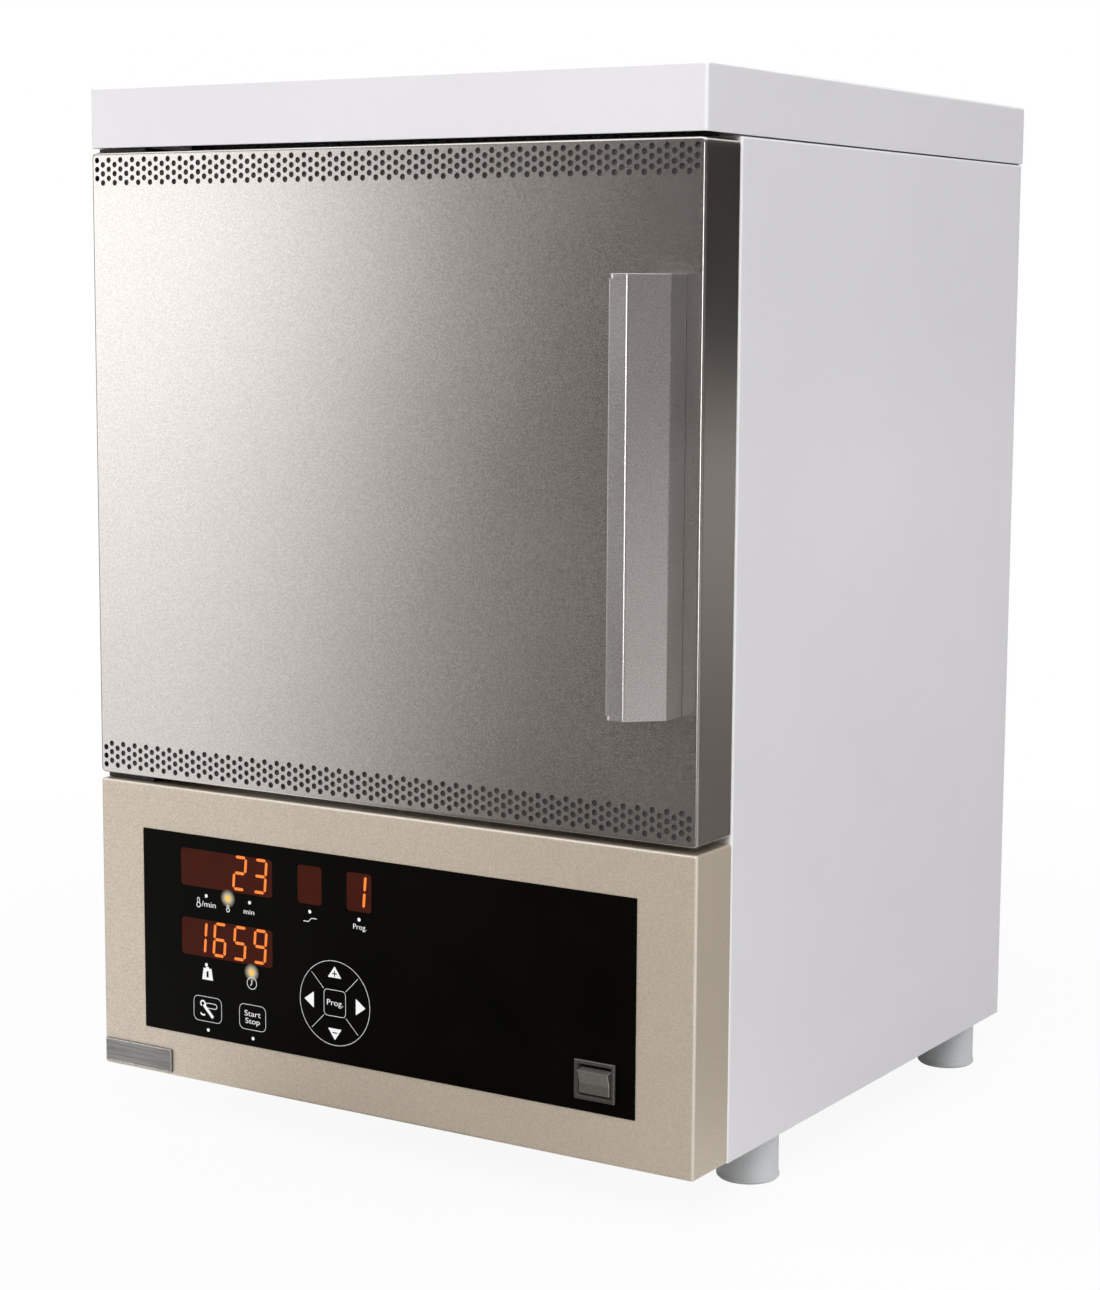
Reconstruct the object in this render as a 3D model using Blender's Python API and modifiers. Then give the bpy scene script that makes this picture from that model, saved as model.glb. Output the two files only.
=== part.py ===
"""Bench-top dental sintering furnace with a side-hinged door, a control fascia and four feet.

Metres, +Z up. The front faces -Y, the feet stand on z = 0, and the origin is the centre of the
bounding box's base. Pieces are laid out from the front plane, which is the flat front of the door,
the fascia and the lid: x from the middle, y towards the rear, z from the floor.
"""

import math

import bmesh
import bpy
from mathutils import Matrix, Vector

# Casing
BODY_WIDTH = 0.400
BODY_DEPTH = 0.400
FRONT_DEPTH = 0.0368
FOOT_HEIGHT = 0.029
FASCIA_HEIGHT = 0.172
DOOR_GAP = 0.0036
DOOR_HEIGHT = 0.3575
LID_GAP = 0.0024
LID_HEIGHT = 0.0341
LID_OVERHANG = 0.002
SIDE_TOP_GAP = 0.0015
SIDE_RETURN = 0.012
SHUT_GAP = 0.0015
OUTER_SHEET = 0.0012
INNER_SHEET = 0.0015
FOLD_INSIDE_RADIUS = 0.0003
PAN_WALL = 0.020
DECK_WALL = 0.015
SEAT_GAP = 0.0003
OVERRUN = 0.002
WELD = 0.000001

# Feet
FOOT_RADIUS = 0.0175
FOOT_CHAMFER = 0.0025
FOOT_STUD_RADIUS = 0.004
FOOT_STUD_LENGTH = 0.006
FOOT_SIDE_INSET = 0.0225
FOOT_FRONT_INSET = 0.103
FOOT_REAR_INSET = 0.030

# Furnace: what is left inside the body, behind these spaces and walls, is the chamber
CASE_SIDE_SPACE = 0.0385
CASE_REAR_SPACE = 0.0679
CASE_DOOR_MARGIN = 0.02725
INSULATION_WALL = 0.085
PLUG_DEPTH = 0.060
PLUG_TAPER = math.radians(18)
PLUG_CLEARANCE = 0.003
SEAL_WIDTH = 0.010
SEAL_INSET = 0.006

# Hearth plate, heating elements and thermocouple
HEARTH_SIDE_GAP = 0.023
HEARTH_END_GAP = 0.010
HEARTH_THICKNESS = 0.006
ELEMENT_WALL_OFFSET = 0.011
ELEMENT_HOT_RADIUS = 0.003
ELEMENT_SHANK_RADIUS = 0.006
ELEMENT_FLOOR_GAP = 0.014
ELEMENT_SHANK_DROP = 0.008
ELEMENT_SHANK_TAPER = 0.010
ELEMENT_TERMINAL_LENGTH = 0.010
HOLDER_WIDTH = 0.026
HOLDER_HEIGHT = 0.012
HOLDER_END = 0.014
ROOF_HOLE_CLEARANCE = 0.001
THERMOCOUPLE_RADIUS = 0.004
THERMOCOUPLE_REACH = 0.015
THERMOCOUPLE_HEIGHT = 0.030
THERMOCOUPLE_HEAD_RADIUS = 0.014
THERMOCOUPLE_HEAD_LENGTH = 0.025

# Where each element's two legs stand, as shares of the chamber's depth from its middle
ELEMENT_LEG_SHARES = {
    "front": (-0.3733, -0.1067),
    "rear": (0.1067, 0.3733),
}

# Door
DOOR_TRAY_DEPTH = 0.015
HINGE_INSET = 0.007
HINGE_DEPTH = 0.0125
HINGE_PIN_RADIUS = 0.003
HINGE_PIN_ENTRY = 0.012
HINGE_PLATE_FRONT = 0.0055
HINGE_PLATE_LENGTH = 0.034
HINGE_FLANGE_HEIGHT = 0.020
MAGNET_WIDTH = 0.016
MAGNET_HEIGHT = 0.040
MAGNET_DEPTH = 0.013
MAGNET_INSET = 0.022
SENSOR_WIDTH = 0.012
SENSOR_HEIGHT = 0.028
SENSOR_DEPTH = 0.010
SENSOR_DROP = 0.060

# Handle
HANDLE_LENGTH = 0.2226
HANDLE_WIDTH = 0.0264
HANDLE_REACH = 0.0315
HANDLE_SIDE = 0.0155
HANDLE_EDGE_INSET = 0.010
HANDLE_WALL = 0.0035
HANDLE_FLANGE = 0.022
HANDLE_EDGE_RADIUS = 0.0012
HANDLE_CAP = 0.0025
HANDLE_SCREW_END_INSET = 0.0213
HANDLE_SCREW_INSET = 0.013
HANDLE_SCREW_RADIUS = 0.0025
HANDLE_SCREW_HEAD_RADIUS = 0.0045
HANDLE_SCREW_HEAD_HEIGHT = 0.003

# Control panel on the fascia
PANEL_LEFT_MARGIN = 0.0321
PANEL_RIGHT_MARGIN = 0.0353
PANEL_TOP_MARGIN = 0.0265
PANEL_BOTTOM_MARGIN = 0.0273
PANEL_THICKNESS = 0.002
PANEL_PROUD = 0.0006
WINDOW_WIDTH = 0.0664
WINDOW_HEIGHT = 0.022
SMALL_WINDOW_WIDTH = 0.017
WINDOW_RADIUS = 0.0015
FILTER_MARGIN = 0.004
FILTER_THICKNESS = 0.001
BOARD_THICKNESS = 0.0016
BOARD_MARGIN = 0.006
KEY_WIDTH = 0.0199
KEY_HEIGHT = 0.0147
KEY_RADIUS = 0.003
RING_RADIUS = 0.0240
CENTRE_KEY_SIZE = 0.0155
CENTRE_KEY_RADIUS = 0.0025
KEY_WEB = 0.001

# Places on the panel, as shares of its width and height from its middle
WINDOW_SHARES = {
    "upper": (-0.3157, 0.340),
    "lower": (-0.3157, -0.0042),
    "step": (-0.1364, 0.340),
    "program": (-0.0337, 0.340),
}
SQUARE_KEY_SHARES = {
    "key_service": (-0.3593, -0.3574),
    "key_start_stop": (-0.2604, -0.3574),
}
RING_SHARES = (-0.0863, -0.2124)
SWITCH_SHARES = (0.4289, -0.3530)

# Power switch
BEZEL_WIDTH = 0.0248
BEZEL_HEIGHT = 0.0214
BEZEL_PROUD = 0.0015
BEZEL_WALL = 0.0026
SWITCH_BODY_DEPTH = 0.018
SWITCH_POCKET_DEPTH = 0.009
ROCKER_TILT = math.radians(20)
ROCKER_CLEARANCE = 0.0005
ROCKER_PIVOT_DEPTH = 0.004
ROCKER_PIN_RADIUS = 0.0012
ROCKER_PIN_LENGTH = 0.001

# Badge plate
BADGE_WIDTH = 0.0505
BADGE_HEIGHT = 0.0139
BADGE_THICKNESS = 0.0008
BADGE_SIDE_INSET = 0.0013
BADGE_BASE_INSET = 0.002

# Electronics bay
TRANSFORMER_CORE = (0.100, 0.050, 0.085)
TRANSFORMER_COIL = (0.062, 0.090, 0.055)
TRANSFORMER_SIDE_INSET = 0.0535
TRANSFORMER_REAR_INSET = 0.1467
SINK_BASE = 0.005
SINK_LENGTH = 0.080
SINK_HEIGHT = 0.070
SINK_FIN_LENGTH = 0.025
SINK_FIN = 0.002
SINK_FIN_COUNT = 9
SINK_SIDE_INSET = 0.1185
SINK_REAR_INSET = 0.1567
MODULE_SIZE = (0.014, 0.045, 0.058)
BAY_WINDOW_INSET = 0.020

# Cooling fan and mains inlet
FAN_SIZE = 0.080
FAN_DEPTH = 0.025
FAN_BORE_RADIUS = 0.0375
FAN_HUB_RADIUS = 0.016
FAN_HUB_DEPTH = 0.016
FAN_TIP_RADIUS = 0.0355
FAN_BLADES = 5
FAN_BLADE_CHORD = 0.017
FAN_BLADE_THICKNESS = 0.0012
FAN_BLADE_PITCH = math.radians(38)
FAN_AXLE_RADIUS = 0.0015
FAN_SPIDER = 0.003
FAN_STRUT = 0.004
FAN_SIDE_INSET = 0.1085
FAN_RISE = 0.091
GUARD_SLOT = 0.004
GUARD_BAR = 0.004
GUARD_SLOTS = 9
VENT_SLOT_LENGTH = 0.060
VENT_SLOT_HEIGHT = 0.004
VENT_PITCH = 0.012
VENT_COUNT = 6
VENT_SIDE_INSET = 0.1185
VENT_TOP_INSET = 0.110
INLET_WIDTH = 0.050
INLET_HEIGHT = 0.028
INLET_FLANGE = 0.0024
INLET_BODY_WIDTH = 0.030
INLET_BODY_HEIGHT = 0.023
INLET_BODY_DEPTH = 0.022
INLET_SOCKET_WIDTH = 0.025
INLET_SOCKET_HEIGHT = 0.0165
INLET_SOCKET_DEPTH = 0.015
INLET_PIN_WIDTH = 0.002
INLET_PIN_HEIGHT = 0.004
INLET_PIN_LENGTH = 0.012
INLET_PIN_SPACING = 0.007
INLET_PIN_DROP = 0.003
INLET_SIDE_INSET = 0.0885
INLET_RISE = 0.046

# Facets of round work
ROUND_STEPS = 32
SMALL_STEPS = 16
ARC_STEPS = 3

# Worked out from the sizes above
HALF_WIDTH = BODY_WIDTH / 2
FRONT_Y = (HANDLE_REACH - BODY_DEPTH - LID_OVERHANG) / 2
BASE_Z = FOOT_HEIGHT
FASCIA_TOP = BASE_Z + FASCIA_HEIGHT
DOOR_BOTTOM = FASCIA_TOP + DOOR_GAP
DOOR_TOP = DOOR_BOTTOM + DOOR_HEIGHT
DOOR_MID = (DOOR_BOTTOM + DOOR_TOP) / 2
LID_BOTTOM = DOOR_TOP + LID_GAP
LID_TOP = LID_BOTTOM + LID_HEIGHT
SIDE_TOP = LID_BOTTOM - SIDE_TOP_GAP
DOOR_DEPTH = FRONT_DEPTH - SHUT_GAP
INNER_HALF_WIDTH = HALF_WIDTH - OUTER_SHEET - SEAT_GAP
FRAME_FRONT = FRONT_DEPTH + OUTER_SHEET + SEAT_GAP
FRAME_BACK = FRAME_FRONT + INNER_SHEET
FRAME_TOP = LID_TOP - OUTER_SHEET - SEAT_GAP
REAR_OUTER = BODY_DEPTH - OUTER_SHEET - SEAT_GAP
REAR_INNER = REAR_OUTER - INNER_SHEET
BAY_FRONT = FRAME_BACK + SEAT_GAP
BAY_REAR = REAR_INNER - SEAT_GAP
BAY_FLOOR = BASE_Z + INNER_SHEET + SEAT_GAP
SHELL_GROWTH = SEAT_GAP + OUTER_SHEET
FURNACE_WALL = SHELL_GROWTH + INSULATION_WALL
PLUG_BACK = DOOR_DEPTH + SEAT_GAP + PLUG_DEPTH
CHAMBER_BACK = BODY_DEPTH - CASE_REAR_SPACE - FURNACE_WALL
CHAMBER_DEPTH = CHAMBER_BACK - PLUG_BACK
CHAMBER_WIDTH = BODY_WIDTH - 2 * (CASE_SIDE_SPACE + FURNACE_WALL)
CHAMBER_HEIGHT = DOOR_HEIGHT - 2 * (CASE_DOOR_MARGIN + FURNACE_WALL)
BRICK_HALF_WIDTH = CHAMBER_WIDTH / 2 + INSULATION_WALL
BRICK_BOTTOM = DOOR_MID - CHAMBER_HEIGHT / 2 - INSULATION_WALL
BRICK_TOP = DOOR_MID + CHAMBER_HEIGHT / 2 + INSULATION_WALL
BRICK_BACK = CHAMBER_BACK + INSULATION_WALL
CHAMBER_FLOOR = DOOR_MID - CHAMBER_HEIGHT / 2
CHAMBER_ROOF = DOOR_MID + CHAMBER_HEIGHT / 2
CASE_BOTTOM = BRICK_BOTTOM - SHELL_GROWTH
CASE_TOP = BRICK_TOP + SHELL_GROWTH
CASE_BACK = BRICK_BACK + SHELL_GROWTH
ELEMENT_X = CHAMBER_WIDTH / 2 - ELEMENT_WALL_OFFSET
ELEMENT_MID_Y = PLUG_BACK + CHAMBER_DEPTH / 2
HOLDER_BOTTOM = CASE_TOP + SEAT_GAP
HOLDER_TOP = HOLDER_BOTTOM + HOLDER_HEIGHT
HINGE_X = HINGE_INSET - HALF_WIDTH
HANDLE_RIGHT = HALF_WIDTH - HANDLE_EDGE_INSET
HANDLE_LEFT = HANDLE_RIGHT - HANDLE_WIDTH
HANDLE_SCREW_X = HANDLE_RIGHT - HANDLE_SCREW_INSET
PANEL_WIDTH = BODY_WIDTH - PANEL_LEFT_MARGIN - PANEL_RIGHT_MARGIN
PANEL_HEIGHT = FASCIA_HEIGHT - PANEL_TOP_MARGIN - PANEL_BOTTOM_MARGIN
PANEL_MID_X = (PANEL_LEFT_MARGIN - PANEL_RIGHT_MARGIN) / 2
PANEL_MID_Z = BASE_Z + PANEL_BOTTOM_MARGIN + PANEL_HEIGHT / 2
PANEL_FRONT = -PANEL_PROUD
PANEL_BACK = PANEL_FRONT + PANEL_THICKNESS
FILTER_FRONT = PANEL_BACK + SEAT_GAP
FILTER_BACK = FILTER_FRONT + FILTER_THICKNESS
BOARD_FRONT = FILTER_BACK + SEAT_GAP
BEZEL_FRONT = PANEL_FRONT - SEAT_GAP - BEZEL_PROUD
POCKET_WIDTH = BEZEL_WIDTH - 2 * BEZEL_WALL
POCKET_HEIGHT = BEZEL_HEIGHT - 2 * BEZEL_WALL
ROCKER_PIVOT_Y = BEZEL_FRONT + ROCKER_PIVOT_DEPTH
FAN_X = FAN_SIDE_INSET - INNER_HALF_WIDTH
FAN_Z = BASE_Z + FAN_RISE
FAN_BACK = REAR_INNER - SEAT_GAP
FAN_FRONT = FAN_BACK - FAN_DEPTH
FAN_AXLE_END = FAN_FRONT + FAN_SPIDER + FAN_HUB_DEPTH
INLET_X = INNER_HALF_WIDTH - INLET_SIDE_INSET
INLET_Z = BASE_Z + INLET_RISE
SINK_X = INNER_HALF_WIDTH - SINK_SIDE_INSET
SINK_Y = BAY_REAR - SINK_REAR_INSET - SINK_LENGTH

AXIS_TURNS = {
    "X": (math.pi / 2, 0, math.pi / 2),
    "Y": (math.pi / 2, 0, 0),
    "Z": (0, 0, 0),
}


def clear_scene():
    for obj in list(bpy.data.objects):
        bpy.data.objects.remove(obj, do_unlink=True)


def new_collection(name):
    collection = bpy.data.collections.new(name)
    bpy.context.scene.collection.children.link(collection)
    return collection


clear_scene()
PARTS = new_collection("dental_lab_furnace")
CUTTERS = new_collection("cutters")
CUTTERS.hide_render = True


def pivot(name, location, parent=None):
    """An empty that pieces hang on."""
    empty = bpy.data.objects.new(name, None)
    PARTS.objects.link(empty)
    empty.parent = parent
    empty.location = location
    return empty


FRONT_PLANE = pivot("front_plane", (0, FRONT_Y, 0))


def place(obj, location, rotation=(0, 0, 0)):
    obj.location = location
    obj.rotation_euler = rotation
    obj.parent = FRONT_PLANE
    return obj


def object_from_bmesh(name, shape):
    mesh = bpy.data.meshes.new(name)
    shape.to_mesh(mesh)
    shape.free()
    obj = bpy.data.objects.new(name, mesh)
    PARTS.objects.link(obj)
    return obj


def box_shape(size):
    shape = bmesh.new()
    bmesh.ops.create_cube(shape, size=1)
    bmesh.ops.scale(shape, vec=size, verts=shape.verts)
    return shape


def middle_and_size(low, high):
    low = Vector(low)
    high = Vector(high)
    return (low + high) / 2, high - low


def box(name, low, high):
    middle, size = middle_and_size(low, high)
    return place(object_from_bmesh(name, box_shape(size)), middle)


def tray(name, low, high, open_sides, sheet):
    """A folded sheet-metal box, open on the named sides, with the sheet's thickness inward."""
    middle, size = middle_and_size(low, high)
    shape = box_shape(size)
    normals = [Vector(side) for side in open_sides]
    gone = [face for face in shape.faces if any(face.normal.dot(side) > 0.9 for side in normals)]
    bmesh.ops.delete(shape, geom=gone, context="FACES")
    obj = place(object_from_bmesh(name, shape), middle)
    fold = obj.modifiers.new("fold", "BEVEL")
    fold.width = sheet + FOLD_INSIDE_RADIUS
    fold.segments = 2
    wall = obj.modifiers.new("sheet", "SOLIDIFY")
    wall.thickness = sheet
    wall.offset = -1
    wall.use_even_offset = True
    return obj


def cylinder(name, radius, low, high, axis="Z", steps=ROUND_STEPS):
    """A round bar from low to high along its axis."""
    middle, size = middle_and_size(low, high)
    length = size["XYZ".index(axis)]
    shape = bmesh.new()
    bmesh.ops.create_cone(
        shape, cap_ends=True, segments=steps, radius1=radius, radius2=radius, depth=length
    )
    obj = place(object_from_bmesh(name, shape), middle, AXIS_TURNS[axis])
    shade_round(obj)
    return obj


def shade_round(obj):
    obj.data.shade_smooth()
    obj.data.set_sharp_from_angle(angle=math.radians(35))


def turned(name, profile, location, axis="Z", steps=ROUND_STEPS):
    """A turned piece: the profile's (radius, height) points run down its outer side."""
    shape = bmesh.new()
    points = [shape.verts.new((radius, 0, height)) for radius, height in profile]
    for upper, lower in zip(points, points[1:]):
        shape.edges.new((upper, lower))
    obj = place(object_from_bmesh(name, shape), location, AXIS_TURNS[axis])
    turn = obj.modifiers.new("turn", "SCREW")
    turn.steps = steps
    turn.render_steps = steps
    turn.use_merge_vertices = True
    turn.merge_threshold = WELD
    turn.use_smooth_shade = False
    return obj


def extruded(name, outlines, low, high, axis):
    """Flat outlines, the first filled and the others cut out of it, given their thickness along an axis."""
    curve = bpy.data.curves.new(name, "CURVE")
    curve.dimensions = "2D"
    curve.fill_mode = "BOTH"
    curve.extrude = (high - low) / 2
    for points in outlines:
        spline = curve.splines.new("POLY")
        spline.points.add(len(points) - 1)
        for point, (u, v) in zip(spline.points, points):
            point.co = (u, v, 0, 1)
        spline.use_cyclic_u = True
    guide = bpy.data.objects.new(name, curve)
    PARTS.objects.link(guide)
    bpy.context.view_layer.update()
    graph = bpy.context.evaluated_depsgraph_get()
    mesh = bpy.data.meshes.new_from_object(guide.evaluated_get(graph))
    shape = bmesh.new()
    shape.from_mesh(mesh)
    bmesh.ops.remove_doubles(shape, verts=shape.verts, dist=WELD)
    bmesh.ops.recalc_face_normals(shape, faces=shape.faces)
    bpy.data.objects.remove(guide, do_unlink=True)
    bpy.data.curves.remove(curve)
    bpy.data.meshes.remove(mesh)
    location = Vector()
    location["XYZ".index(axis)] = (low + high) / 2
    return place(object_from_bmesh(name, shape), location, AXIS_TURNS[axis])


def many_boxes(name, spans):
    """Several boxes that don't touch, as one cutter."""
    shape = bmesh.new()
    for low, high in spans:
        middle, size = middle_and_size(low, high)
        bmesh.ops.create_cube(shape, size=1, matrix=Matrix.Translation(middle) @ Matrix.Diagonal((*size, 1)))
    return place(object_from_bmesh(name, shape), (0, 0, 0))


def helper(obj):
    """A cutter or a piece to be joined, kept out of the model."""
    PARTS.objects.unlink(obj)
    CUTTERS.objects.link(obj)
    obj.hide_render = True
    obj.display_type = "WIRE"
    return obj


def combine(target, operation, *others):
    for other in others:
        modifier = target.modifiers.new(operation.lower(), "BOOLEAN")
        modifier.operation = operation
        modifier.object = helper(other)
    return target


def cut(target, *others):
    return combine(target, "DIFFERENCE", *others)


def join(target, *others):
    return combine(target, "UNION", *others)


def hang_on(obj, empty):
    """Parents a piece to a pivot without moving it."""
    obj.parent = empty
    obj.location -= empty.location


def rectangle(middle, width, height):
    u, v = middle
    return [
        (u - width / 2, v - height / 2),
        (u + width / 2, v - height / 2),
        (u + width / 2, v + height / 2),
        (u - width / 2, v + height / 2),
    ]


def rounded(points, radius):
    """An outline with each corner turned into an arc of this radius."""
    result = []
    for index, corner in enumerate(points):
        corner = Vector(corner)
        before = (Vector(points[index - 1]) - corner).normalized()
        after = (Vector(points[(index + 1) % len(points)]) - corner).normalized()
        half_angle = before.angle(after) / 2
        middle = corner + (before + after).normalized() * radius / math.sin(half_angle)
        start = corner + before * radius / math.tan(half_angle) - middle
        end = corner + after * radius / math.tan(half_angle) - middle
        sweep = start.angle_signed(end)
        for step in range(ARC_STEPS + 1):
            turn = Matrix.Rotation(-sweep * step / ARC_STEPS, 2)
            result.append(tuple(middle + turn @ start))
    return result


def circle(middle, radius, steps):
    u, v = middle
    angles = [2 * math.pi * step / steps for step in range(steps)]
    return [(u + radius * math.cos(angle), v + radius * math.sin(angle)) for angle in angles]


def sector(middle, outer_radius, inner_offset, side_offset, quarter):
    """A quarter of a ring between its diagonals: straight inner side, round outer side."""
    shift = side_offset * math.sqrt(2)
    end_u = (math.sqrt(2 * outer_radius ** 2 - shift ** 2) - shift) / 2
    first = math.atan2(end_u + shift, end_u)
    last = math.pi - first
    points = [(shift - inner_offset, inner_offset), (inner_offset - shift, inner_offset)]
    for step in range(2 * ARC_STEPS + 1):
        angle = first + (last - first) * step / (2 * ARC_STEPS)
        points.append((outer_radius * math.cos(angle), outer_radius * math.sin(angle)))
    turn = Matrix.Rotation(quarter * math.pi / 2, 2)
    return [tuple(Vector(middle) + turn @ Vector(point)) for point in points]


def mouth_half(size, depth):
    """Half the furnace mouth's size at a depth: it tapers to the chamber's own size at the plug's back."""
    return size / 2 + (PLUG_BACK - depth) * math.tan(PLUG_TAPER)


def tapered_block(name, front, back, shrink):
    """A block that narrows with the mouth from front to back, smaller all round by the shrink."""
    wide, tall = (mouth_half(size, front) - shrink for size in (CHAMBER_WIDTH, CHAMBER_HEIGHT))
    back_wide, back_tall = (mouth_half(size, back) - shrink for size in (CHAMBER_WIDTH, CHAMBER_HEIGHT))
    shape = box_shape((2 * wide, back - front, 2 * tall))
    back_corners = [vert for vert in shape.verts if vert.co.y > 0]
    bmesh.ops.scale(shape, vec=(back_wide / wide, 1, back_tall / tall), verts=back_corners)
    return place(object_from_bmesh(name, shape), (0, (front + back) / 2, DOOR_MID))


def mouth_cutter(name):
    return tapered_block(name, FRAME_FRONT - OVERRUN, PLUG_BACK + OVERRUN, 0)


# Casing


def foot_places():
    return {
        "front_left": (FOOT_SIDE_INSET - HALF_WIDTH, FOOT_FRONT_INSET),
        "front_right": (HALF_WIDTH - FOOT_SIDE_INSET, FOOT_FRONT_INSET),
        "rear_left": (FOOT_SIDE_INSET - HALF_WIDTH, BODY_DEPTH - FOOT_REAR_INSET),
        "rear_right": (HALF_WIDTH - FOOT_SIDE_INSET, BODY_DEPTH - FOOT_REAR_INSET),
    }


def make_feet():
    top = FOOT_HEIGHT - SEAT_GAP
    profile = [
        (0, top + FOOT_STUD_LENGTH),
        (FOOT_STUD_RADIUS, top + FOOT_STUD_LENGTH),
        (FOOT_STUD_RADIUS, top),
        (FOOT_RADIUS, top),
        (FOOT_RADIUS, FOOT_CHAMFER),
        (FOOT_RADIUS - FOOT_CHAMFER, 0),
        (0, 0),
    ]
    for corner, (x, y) in foot_places().items():
        turned("foot_" + corner, profile, (x, y, 0))


def make_base_pan():
    low = (-INNER_HALF_WIDTH, BAY_FRONT, BASE_Z)
    high = (INNER_HALF_WIDTH, BAY_REAR, BASE_Z + PAN_WALL)
    pan = tray("base_pan", low, high, [(0, 0, 1)], INNER_SHEET)
    hole = FOOT_STUD_RADIUS + SEAT_GAP
    for corner, (x, y) in foot_places().items():
        low = (x, y, BASE_Z - OVERRUN)
        high = (x, y, BASE_Z + INNER_SHEET + OVERRUN)
        cut(pan, cylinder("stud_hole_" + corner, hole, low, high, "Z", SMALL_STEPS))


def make_side_panels():
    for side, name in ((-1, "side_panel_left"), (1, "side_panel_right")):
        edges = sorted((side * HALF_WIDTH, side * (HALF_WIDTH - SIDE_RETURN)))
        low = (edges[0], FRONT_DEPTH, BASE_Z)
        high = (edges[1], BODY_DEPTH, SIDE_TOP)
        open_sides = [(-side, 0, 0), (0, 0, 1), (0, 0, -1)]
        tray(name, low, high, open_sides, OUTER_SHEET)


def make_lid():
    low = (-HALF_WIDTH, 0, LID_BOTTOM)
    high = (HALF_WIDTH, BODY_DEPTH + LID_OVERHANG, LID_TOP)
    tray("lid", low, high, [(0, 0, -1)], OUTER_SHEET)


def guard_slots():
    """Slots across the fan's bore, each as long as the circle allows."""
    slots = []
    pitch = GUARD_SLOT + GUARD_BAR
    for index in range(GUARD_SLOTS):
        offset = (index - (GUARD_SLOTS - 1) / 2) * pitch
        reach = abs(offset) + GUARD_SLOT / 2
        if reach < FAN_BORE_RADIUS:
            length = 2 * math.sqrt(FAN_BORE_RADIUS ** 2 - reach ** 2)
            slots.append(rectangle((FAN_X, FAN_Z + offset), length, GUARD_SLOT))
    return slots


def vent_slots():
    slots = []
    for side in (-1, 1):
        for index in range(VENT_COUNT):
            x = side * (INNER_HALF_WIDTH - VENT_SIDE_INSET)
            middle = (x, LID_BOTTOM - VENT_TOP_INSET + index * VENT_PITCH)
            slots.append(rectangle(middle, VENT_SLOT_LENGTH, VENT_SLOT_HEIGHT))
    return slots


def make_rear_panel():
    sheet = rectangle((0, (BASE_Z + FRAME_TOP) / 2), 2 * INNER_HALF_WIDTH, FRAME_TOP - BASE_Z)
    inlet_hole = rectangle(
        (INLET_X, INLET_Z), INLET_BODY_WIDTH + 2 * SEAT_GAP, INLET_BODY_HEIGHT + 2 * SEAT_GAP
    )
    outlines = [sheet, inlet_hole, *guard_slots(), *vent_slots()]
    extruded("rear_panel", outlines, REAR_INNER, REAR_OUTER, "Y")


def make_front_frame():
    sheet = rectangle((0, (BASE_Z + FRAME_TOP) / 2), 2 * INNER_HALF_WIDTH, FRAME_TOP - BASE_Z)
    mouth = rectangle(
        (0, DOOR_MID),
        2 * (mouth_half(CHAMBER_WIDTH, FRAME_FRONT) + SEAT_GAP),
        2 * (mouth_half(CHAMBER_HEIGHT, FRAME_FRONT) + SEAT_GAP),
    )
    bay_low = BASE_Z + BAY_WINDOW_INSET
    bay_high = FASCIA_TOP - BAY_WINDOW_INSET
    bay_width = 2 * (INNER_HALF_WIDTH - BAY_WINDOW_INSET)
    bay = rectangle((0, (bay_low + bay_high) / 2), bay_width, bay_high - bay_low)
    magnet = rectangle(
        (HALF_WIDTH - MAGNET_INSET, DOOR_MID), MAGNET_WIDTH + 2 * SEAT_GAP, MAGNET_HEIGHT + 2 * SEAT_GAP
    )
    extruded("front_frame", [sheet, mouth, bay, magnet], FRAME_FRONT, FRAME_BACK, "Y")


def make_furnace_deck():
    top = CASE_BOTTOM - SEAT_GAP
    low = (-INNER_HALF_WIDTH, BAY_FRONT, top - DECK_WALL)
    high = (INNER_HALF_WIDTH, BAY_REAR, top)
    tray("furnace_deck", low, high, [(0, 0, -1)], INNER_SHEET)


# Furnace


def element_places():
    """(name, x, y of one leg, y of the other) of each hairpin: two along each side wall."""
    places = []
    for side, side_name in ((-1, "left"), (1, "right")):
        for row_name, shares in ELEMENT_LEG_SHARES.items():
            legs = [ELEMENT_MID_Y + share * CHAMBER_DEPTH for share in shares]
            places.append((f"heating_element_{side_name}_{row_name}", side * ELEMENT_X, *legs))
    return places


def leg_places():
    return [(x, y) for _, x, *legs in element_places() for y in legs]


def leg_holes(name, radius, low, high):
    """Round cutters for the legs of every element."""
    holes = []
    for index, (x, y) in enumerate(leg_places()):
        ends = ((x, y, low - OVERRUN), (x, y, high + OVERRUN))
        holes.append(cylinder(f"{name}_{index}", radius, *ends, "Z", SMALL_STEPS))
    return holes


def thermocouple_hole(name, low, high):
    z = DOOR_MID + THERMOCOUPLE_HEIGHT
    radius = THERMOCOUPLE_RADIUS + SEAT_GAP
    return cylinder(name, radius, (0, low - OVERRUN, z), (0, high + OVERRUN, z), "Y", SMALL_STEPS)


def make_inner_casing():
    half = BRICK_HALF_WIDTH + SHELL_GROWTH
    low = (-half, BAY_FRONT, CASE_BOTTOM)
    high = (half, CASE_BACK, CASE_TOP)
    casing = tray("inner_casing", low, high, [(0, -1, 0)], OUTER_SHEET)
    hole = ELEMENT_SHANK_RADIUS + ROOF_HOLE_CLEARANCE
    cut(casing, *leg_holes("casing_leg_hole", hole, CASE_TOP - OUTER_SHEET, CASE_TOP))
    cut(casing, thermocouple_hole("casing_probe_hole", CASE_BACK - OUTER_SHEET, CASE_BACK))


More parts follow.
